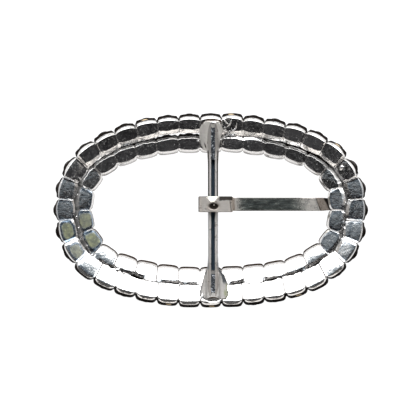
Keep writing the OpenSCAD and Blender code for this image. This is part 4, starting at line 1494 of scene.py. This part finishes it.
bar_satin = satin_finish("bar_satin", (1.0, 0.05, 1.0), {
    "pale": (0.90, 0.86, 0.82), "dark": (0.70, 0.66, 0.62), "unworn": (0.5, 0.5, 0.5),
    "film_and_shade": (0.21, 0.19, 0.175), "shade_and_tarnish": (0.070, 0.098, 0.132), "brown_shade": (0.050, 0.040, 0.033)})
strip_satin = satin_finish("strip_satin", (0.05, 1.0, 1.0), {
    "pale": (0.66, 0.61, 0.56), "dark": (0.47, 0.43, 0.395), "unworn": (0.52, 0.52, 0.46),
    "film_and_shade": (0.31, 0.26, 0.22), "shade_and_tarnish": (0.014, 0.011, 0.009), "brown_shade": (0.014, 0.011, 0.009)})
print("finishes:", bar_satin.name, strip_satin.name)

# %% [markdown]
# ## Solder
#
# The drops of solder are bright and smooth. The pads have gone grey and rough, the lower one more
# than the upper. Each could have nodes of its own, but they differ only in colour, in shine and in
# how deep their relief is, so one function makes all three.

# %% Finishes of the solder
def solder_finish(name, pale, dark, metal, roughness, relief, darkest):
    material, tree, shader = new_material(name)
    grit = add_skin(tree, 0.22, 0.6)
    shade_and_tarnish = stored(tree, "shade_and_tarnish")
    base = mix_colour(tree, grit["Mottle"], (*dark, 1), (*pale, 1))
    base = mix_colour(tree, stored(tree, "olive"), base, (0.15, 0.16, 0.085, 1))
    plug_in(tree, shader, {
        "Base Color": mix_colour(tree, shade_and_tarnish, base, (*darkest, 1)),
        "Roughness": ranged(tree, grit["Mottle"], 0.3, 0.7, *roughness),
        "Metallic": ranged(tree, shade_and_tarnish, 0.0, 1.0, metal, 0.0),
        "Specular IOR Level": ranged(tree, shade_and_tarnish, 0.0, 1.0, 0.5, 0.05),
        "Normal": bumped(tree, grit["Height"], relief, 0.00015),
    })
    return material


NAVY, BROWN = (0.02, 0.026, 0.032), (0.035, 0.02, 0.012)
solder_metal, pad_metal, low_pad_metal = (solder_finish(*values) for values in (
    # name, pale and dark colour, share of metal, lowest and highest roughness, relief, tarnish
    ("solder", (0.88, 0.88, 0.88), (0.66, 0.64, 0.62), 1.0, (0.06, 0.16), 0.25, BROWN),
    ("soldered_pad", (0.80, 0.77, 0.73), (0.58, 0.55, 0.51), 0.35, (0.30, 0.5), 0.6, BROWN),
    ("grey_pad", (0.33, 0.315, 0.30), (0.20, 0.19, 0.18), 0.25, (0.35, 0.55), 0.6, NAVY),
))
print("finishes:", solder_metal.name, pad_metal.name, low_pad_metal.name)

# %% [markdown]
# ## Crumbs in the seam
#
# The filling of the seam is nearly black flux with bright specks of solder. Specks of mesh would take
# many thousands of faces, so they are drawn in the material. The mottle of the shared skin decides
# where one lies: a narrow range gives few and sharp ones. Both ends use the same recipe with
# another range.

# %% Finishes of the seam
def seam_finish(name, speck_low, speck_high):
    """Flux and crumbs of solder in the seam: nearly black, with bright specks."""
    material, tree, shader = new_material(name)
    grit = add_skin(tree, 0.22, 0.42, 0.42)
    crumbs = ranged(tree, grit["Mottle"], speck_low, speck_high)
    plug_in(tree, shader, {
        "Base Color": mix_colour(tree, crumbs, (0.012, 0.017, 0.025, 1), (0.62, 0.66, 0.72, 1)),
        "Metallic": ranged(tree, crumbs, 0.0, 1.0, 0.0, 0.5),
        "Roughness": 0.35,
        "Normal": bumped(tree, grit["Height"], 0.8, 0.0002),
    })
    return material


fine_crumbs = seam_finish("seam_flux", 0.54, 0.68)
rough_crumbs = seam_finish("seam_solder", 0.60, 0.66)
print("finishes:", fine_crumbs.name, rough_crumbs.name)

# %% [markdown]
# ## Crystal, foil and lacquer
#
# The stone is clear glass with a high index of refraction, and it needs nothing but plain values.
# The foil is a bright metal. The lacquer is dark brown and lets gold shine through where it is thin,
# on the cone behind the stone but not on its hem. A coat that light really passes through would be
# truer, but it renders slowly and with noise, so the gold is mixed into its colour.

# %% Finishes of the stones
crystal, tree, shader = new_material("crystal")
plug_in(tree, shader, {
    "Base Color": (0.96, 0.98, 1.0, 1), "Roughness": 0.01, "IOR": 1.55, "Transmission Weight": 1.0})

silver, tree, shader = new_material("silver_foil")
cloud = add_skin(tree, 0.3, 2.0)
plug_in(tree, shader, {
    "Base Color": mix_colour(tree, cloud["Mottle"], (0.80, 0.80, 0.80, 1), (0.92, 0.92, 0.92, 1)),
    "Metallic": 1.0, "Roughness": 0.08})

brown, tree, shader = new_material("brown_lacquer")
cloud = add_skin(tree, 0.3, 1.0)
cone = ranged(tree, stored(tree, "hem"), 0.45, 0.65, 1.0, 0.0)
gold = maths(tree, "MULTIPLY", ranged(tree, cloud["Mottle"], 0.40, 0.56), cone)
plug_in(tree, shader, {
    "Base Color": mix_colour(tree, gold, (0.012, 0.008, 0.006, 1), (0.45, 0.26, 0.10, 1)),
    "Metallic": 0.5, "Roughness": 0.25})
print("stone finishes:", crystal.name, silver.name, brown.name)

# %% [markdown]
# ## Dressing the pieces
#
# Each piece now gets its material and the body that it moves with. Everything rides on the frame
# but the tongue, which swings about the bar. The pieces stand in for the plain solids of the same
# things, so those are hidden from the picture.

# %% Dress every piece
FRAME_PIECES = {
    outer_cups: (plate, "plated_metal"), inner_cups: (plate, "plated_metal"),
    crossbar: (bar_satin, "plated_metal"),
    pads[0]: (pad_metal, "plated_metal"), pads[1]: (low_pad_metal, "plated_metal"),
    solder: (solder_metal, "plated_metal"),
    fillings[0]: (fine_crumbs, "plated_metal"), fillings[1]: (rough_crumbs, "plated_metal"),
    outer_crystals: (crystal, "crystal"), inner_crystals: (crystal, "crystal"),
    foil: (silver, "crystal"), lacquer: (brown, "crystal"),
}
for piece, (material, slot_name) in FRAME_PIECES.items():
    piece.data.materials.append(material)
    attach(piece, "frame")
tongue.data.materials.append(strip_satin)
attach(tongue, "tongue")
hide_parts("frame")
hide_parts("tongue")
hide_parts("outer_stones")
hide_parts("inner_stones")
print("pieces dressed:", len(FRAME_PIECES) + 1)

# %% [markdown]
# ## Light
#
# Polished metal shows its surroundings, so each panel of light is placed for the faces that mirror
# it. One large softbox stands beyond the upper long side, so faces that lean that way turn white.
# Nothing as bright stands opposite, so faces that lean towards it stay dark. A dim card overhead
# gives the level faces their slate grey, and two small panels at the sides light the walls at both
# ends of the oval. A photographed room would be quicker, but no single panel of it could be moved.

# %% Light the stage
PANEL_AWAY = 0.9


def add_softbox(name, turn, low, high, wide, radiance, colour=(1, 1, 1)):
    """A lit panel. turn is its side of the table, low and high its angles from overhead."""
    middle, side = np.radians((low + high) / 2), np.radians(turn)
    light = bpy.data.lights.new(name, "AREA")
    light.shape = "RECTANGLE"
    light.size, light.size_y = wide, 2 * PANEL_AWAY * np.tan(np.radians((high - low) / 2))
    light.energy = radiance * np.pi * light.size * light.size_y
    light.color = colour
    lamp = bpy.data.objects.new(name, light)
    towards = Vector((np.cos(side) * np.sin(middle), np.sin(side) * np.sin(middle), np.cos(middle)))
    lamp.location = PANEL_AWAY * towards
    lamp.rotation_euler = (-lamp.location).to_track_quat("-Z", "Y").to_euler()
    bpy.context.scene.collection.objects.link(lamp)


PALE_BLUE, BLUE, WARM = (0.84, 0.93, 1.0), (0.74, 0.89, 1.0), (1, 0.95, 0.89)
SOFTBOXES = [
    # name, side of the table, lower and upper edge from overhead, width, radiance, colour
    ("key", 90, 25, 76, 1.9, 4.0), ("wide_key", 90, 19, 82, 2.3, 0.8, PALE_BLUE),
    ("widest_key", 90, 14, 88, 2.7, 0.28, PALE_BLUE), ("overhead", 90, -1.2, 24, 1.8, 0.10, BLUE),
    ("overhead_step", 90, 0.2, 24, 1.8, 0.10, BLUE), ("overhead_edge", 90, 5, 24, 1.8, 0.06, BLUE),
    ("low_near", 270, 72, 91, 1.8, 1.5, (1, 0.97, 0.93)), ("low_left", 180, 76, 91, 1.8, 0.4),
    ("low_right", 0, 76, 91, 1.8, 0.4),
    ("side_left", 158, 38, 77, 0.7, 0.36, WARM), ("side_right", 20, 38, 77, 0.7, 0.50, WARM),
]
for panel in SOFTBOXES:
    add_softbox(*panel)
print("panels:", len(SOFTBOXES))

# %% [markdown]
# ## The dark room
#
# Between the panels the metal mirrors the room. An even grey would be the simplest room, but a
# mirror of nothing looks like a drawing. So a soft noise gives the room dim shapes, as furniture at
# the back of a studio would.

# %% Room behind the lights
world = bpy.data.worlds.new("studio")
world.use_nodes = True
room = world.node_tree
direction = add_node(room, "ShaderNodeTexCoord").outputs["Generated"]
clutter = add_node(room, "ShaderNodeTexNoise", {"Vector": direction, "Scale": 5.0, "Detail": 3.0}).outputs[0]
shapes = ranged(room, clutter, 0.42, 0.68)
room_colour = mix_colour(room, shapes, (0.008, 0.008, 0.009, 1), (0.075, 0.075, 0.08, 1))
plug_in(room, room.nodes["Background"], {"Color": room_colour})
bpy.context.scene.world = world
bpy.context.scene.view_settings.view_transform = "Standard"
print("room:", world.name)

# %% [markdown]
# ## The camera
#
# The camera looks straight down from 62 cm, far enough that the oval is hardly distorted. Its lens is
# worked out from the width that the picture has to show at the height of the flat backs. An
# orthographic camera would have no perspective at all, which a photograph always has.

# %% Set up the camera
VIEW_W_MM = 91.5
CAMERA_Z = 0.62
AIM_MM = (-0.6, 0.44)
SENSOR_W = 36
camera = bpy.data.objects.new("camera", bpy.data.cameras.new("camera"))
camera.location = (AIM_MM[0] * MM, AIM_MM[1] * MM, CAMERA_Z)
camera.data.sensor_width = SENSOR_W
camera.data.lens = SENSOR_W * (CAMERA_Z - BACK_Z * MM) / (VIEW_W_MM * MM)
bpy.context.scene.collection.objects.link(camera)
bpy.context.scene.camera = camera
print("camera lens:", round(camera.data.lens, 1), "mm")

# %% [markdown]
# ## The floor
#
# The buckle lies on a sheet of white paper that glows a little, like a light table. A plain white
# sheet would need so much light that the metal burns out. Its own glow keeps it pale to the very
# edge of the buckle.

# %% Lay the floor
FLOOR_HALF = 1.5
floor_mesh = bpy.data.meshes.new("floor")
corners = [(x * FLOOR_HALF, y * FLOOR_HALF, 0) for x, y in ((-1, -1), (1, -1), (1, 1), (-1, 1))]
floor_mesh.from_pydata(corners, [], [(0, 1, 2, 3)])
floor = bpy.data.objects.new("floor", floor_mesh)
bpy.context.scene.collection.objects.link(floor)
paper, tree, shader = new_material("paper")
plug_in(tree, shader, {
    "Base Color": (0.12, 0.12, 0.12, 1), "Roughness": 0.9,
    "Emission Color": (1, 1, 1, 1), "Emission Strength": 1.0})
floor_mesh.materials.append(paper)
print("floor:", 2 * FLOOR_HALF, "m wide")
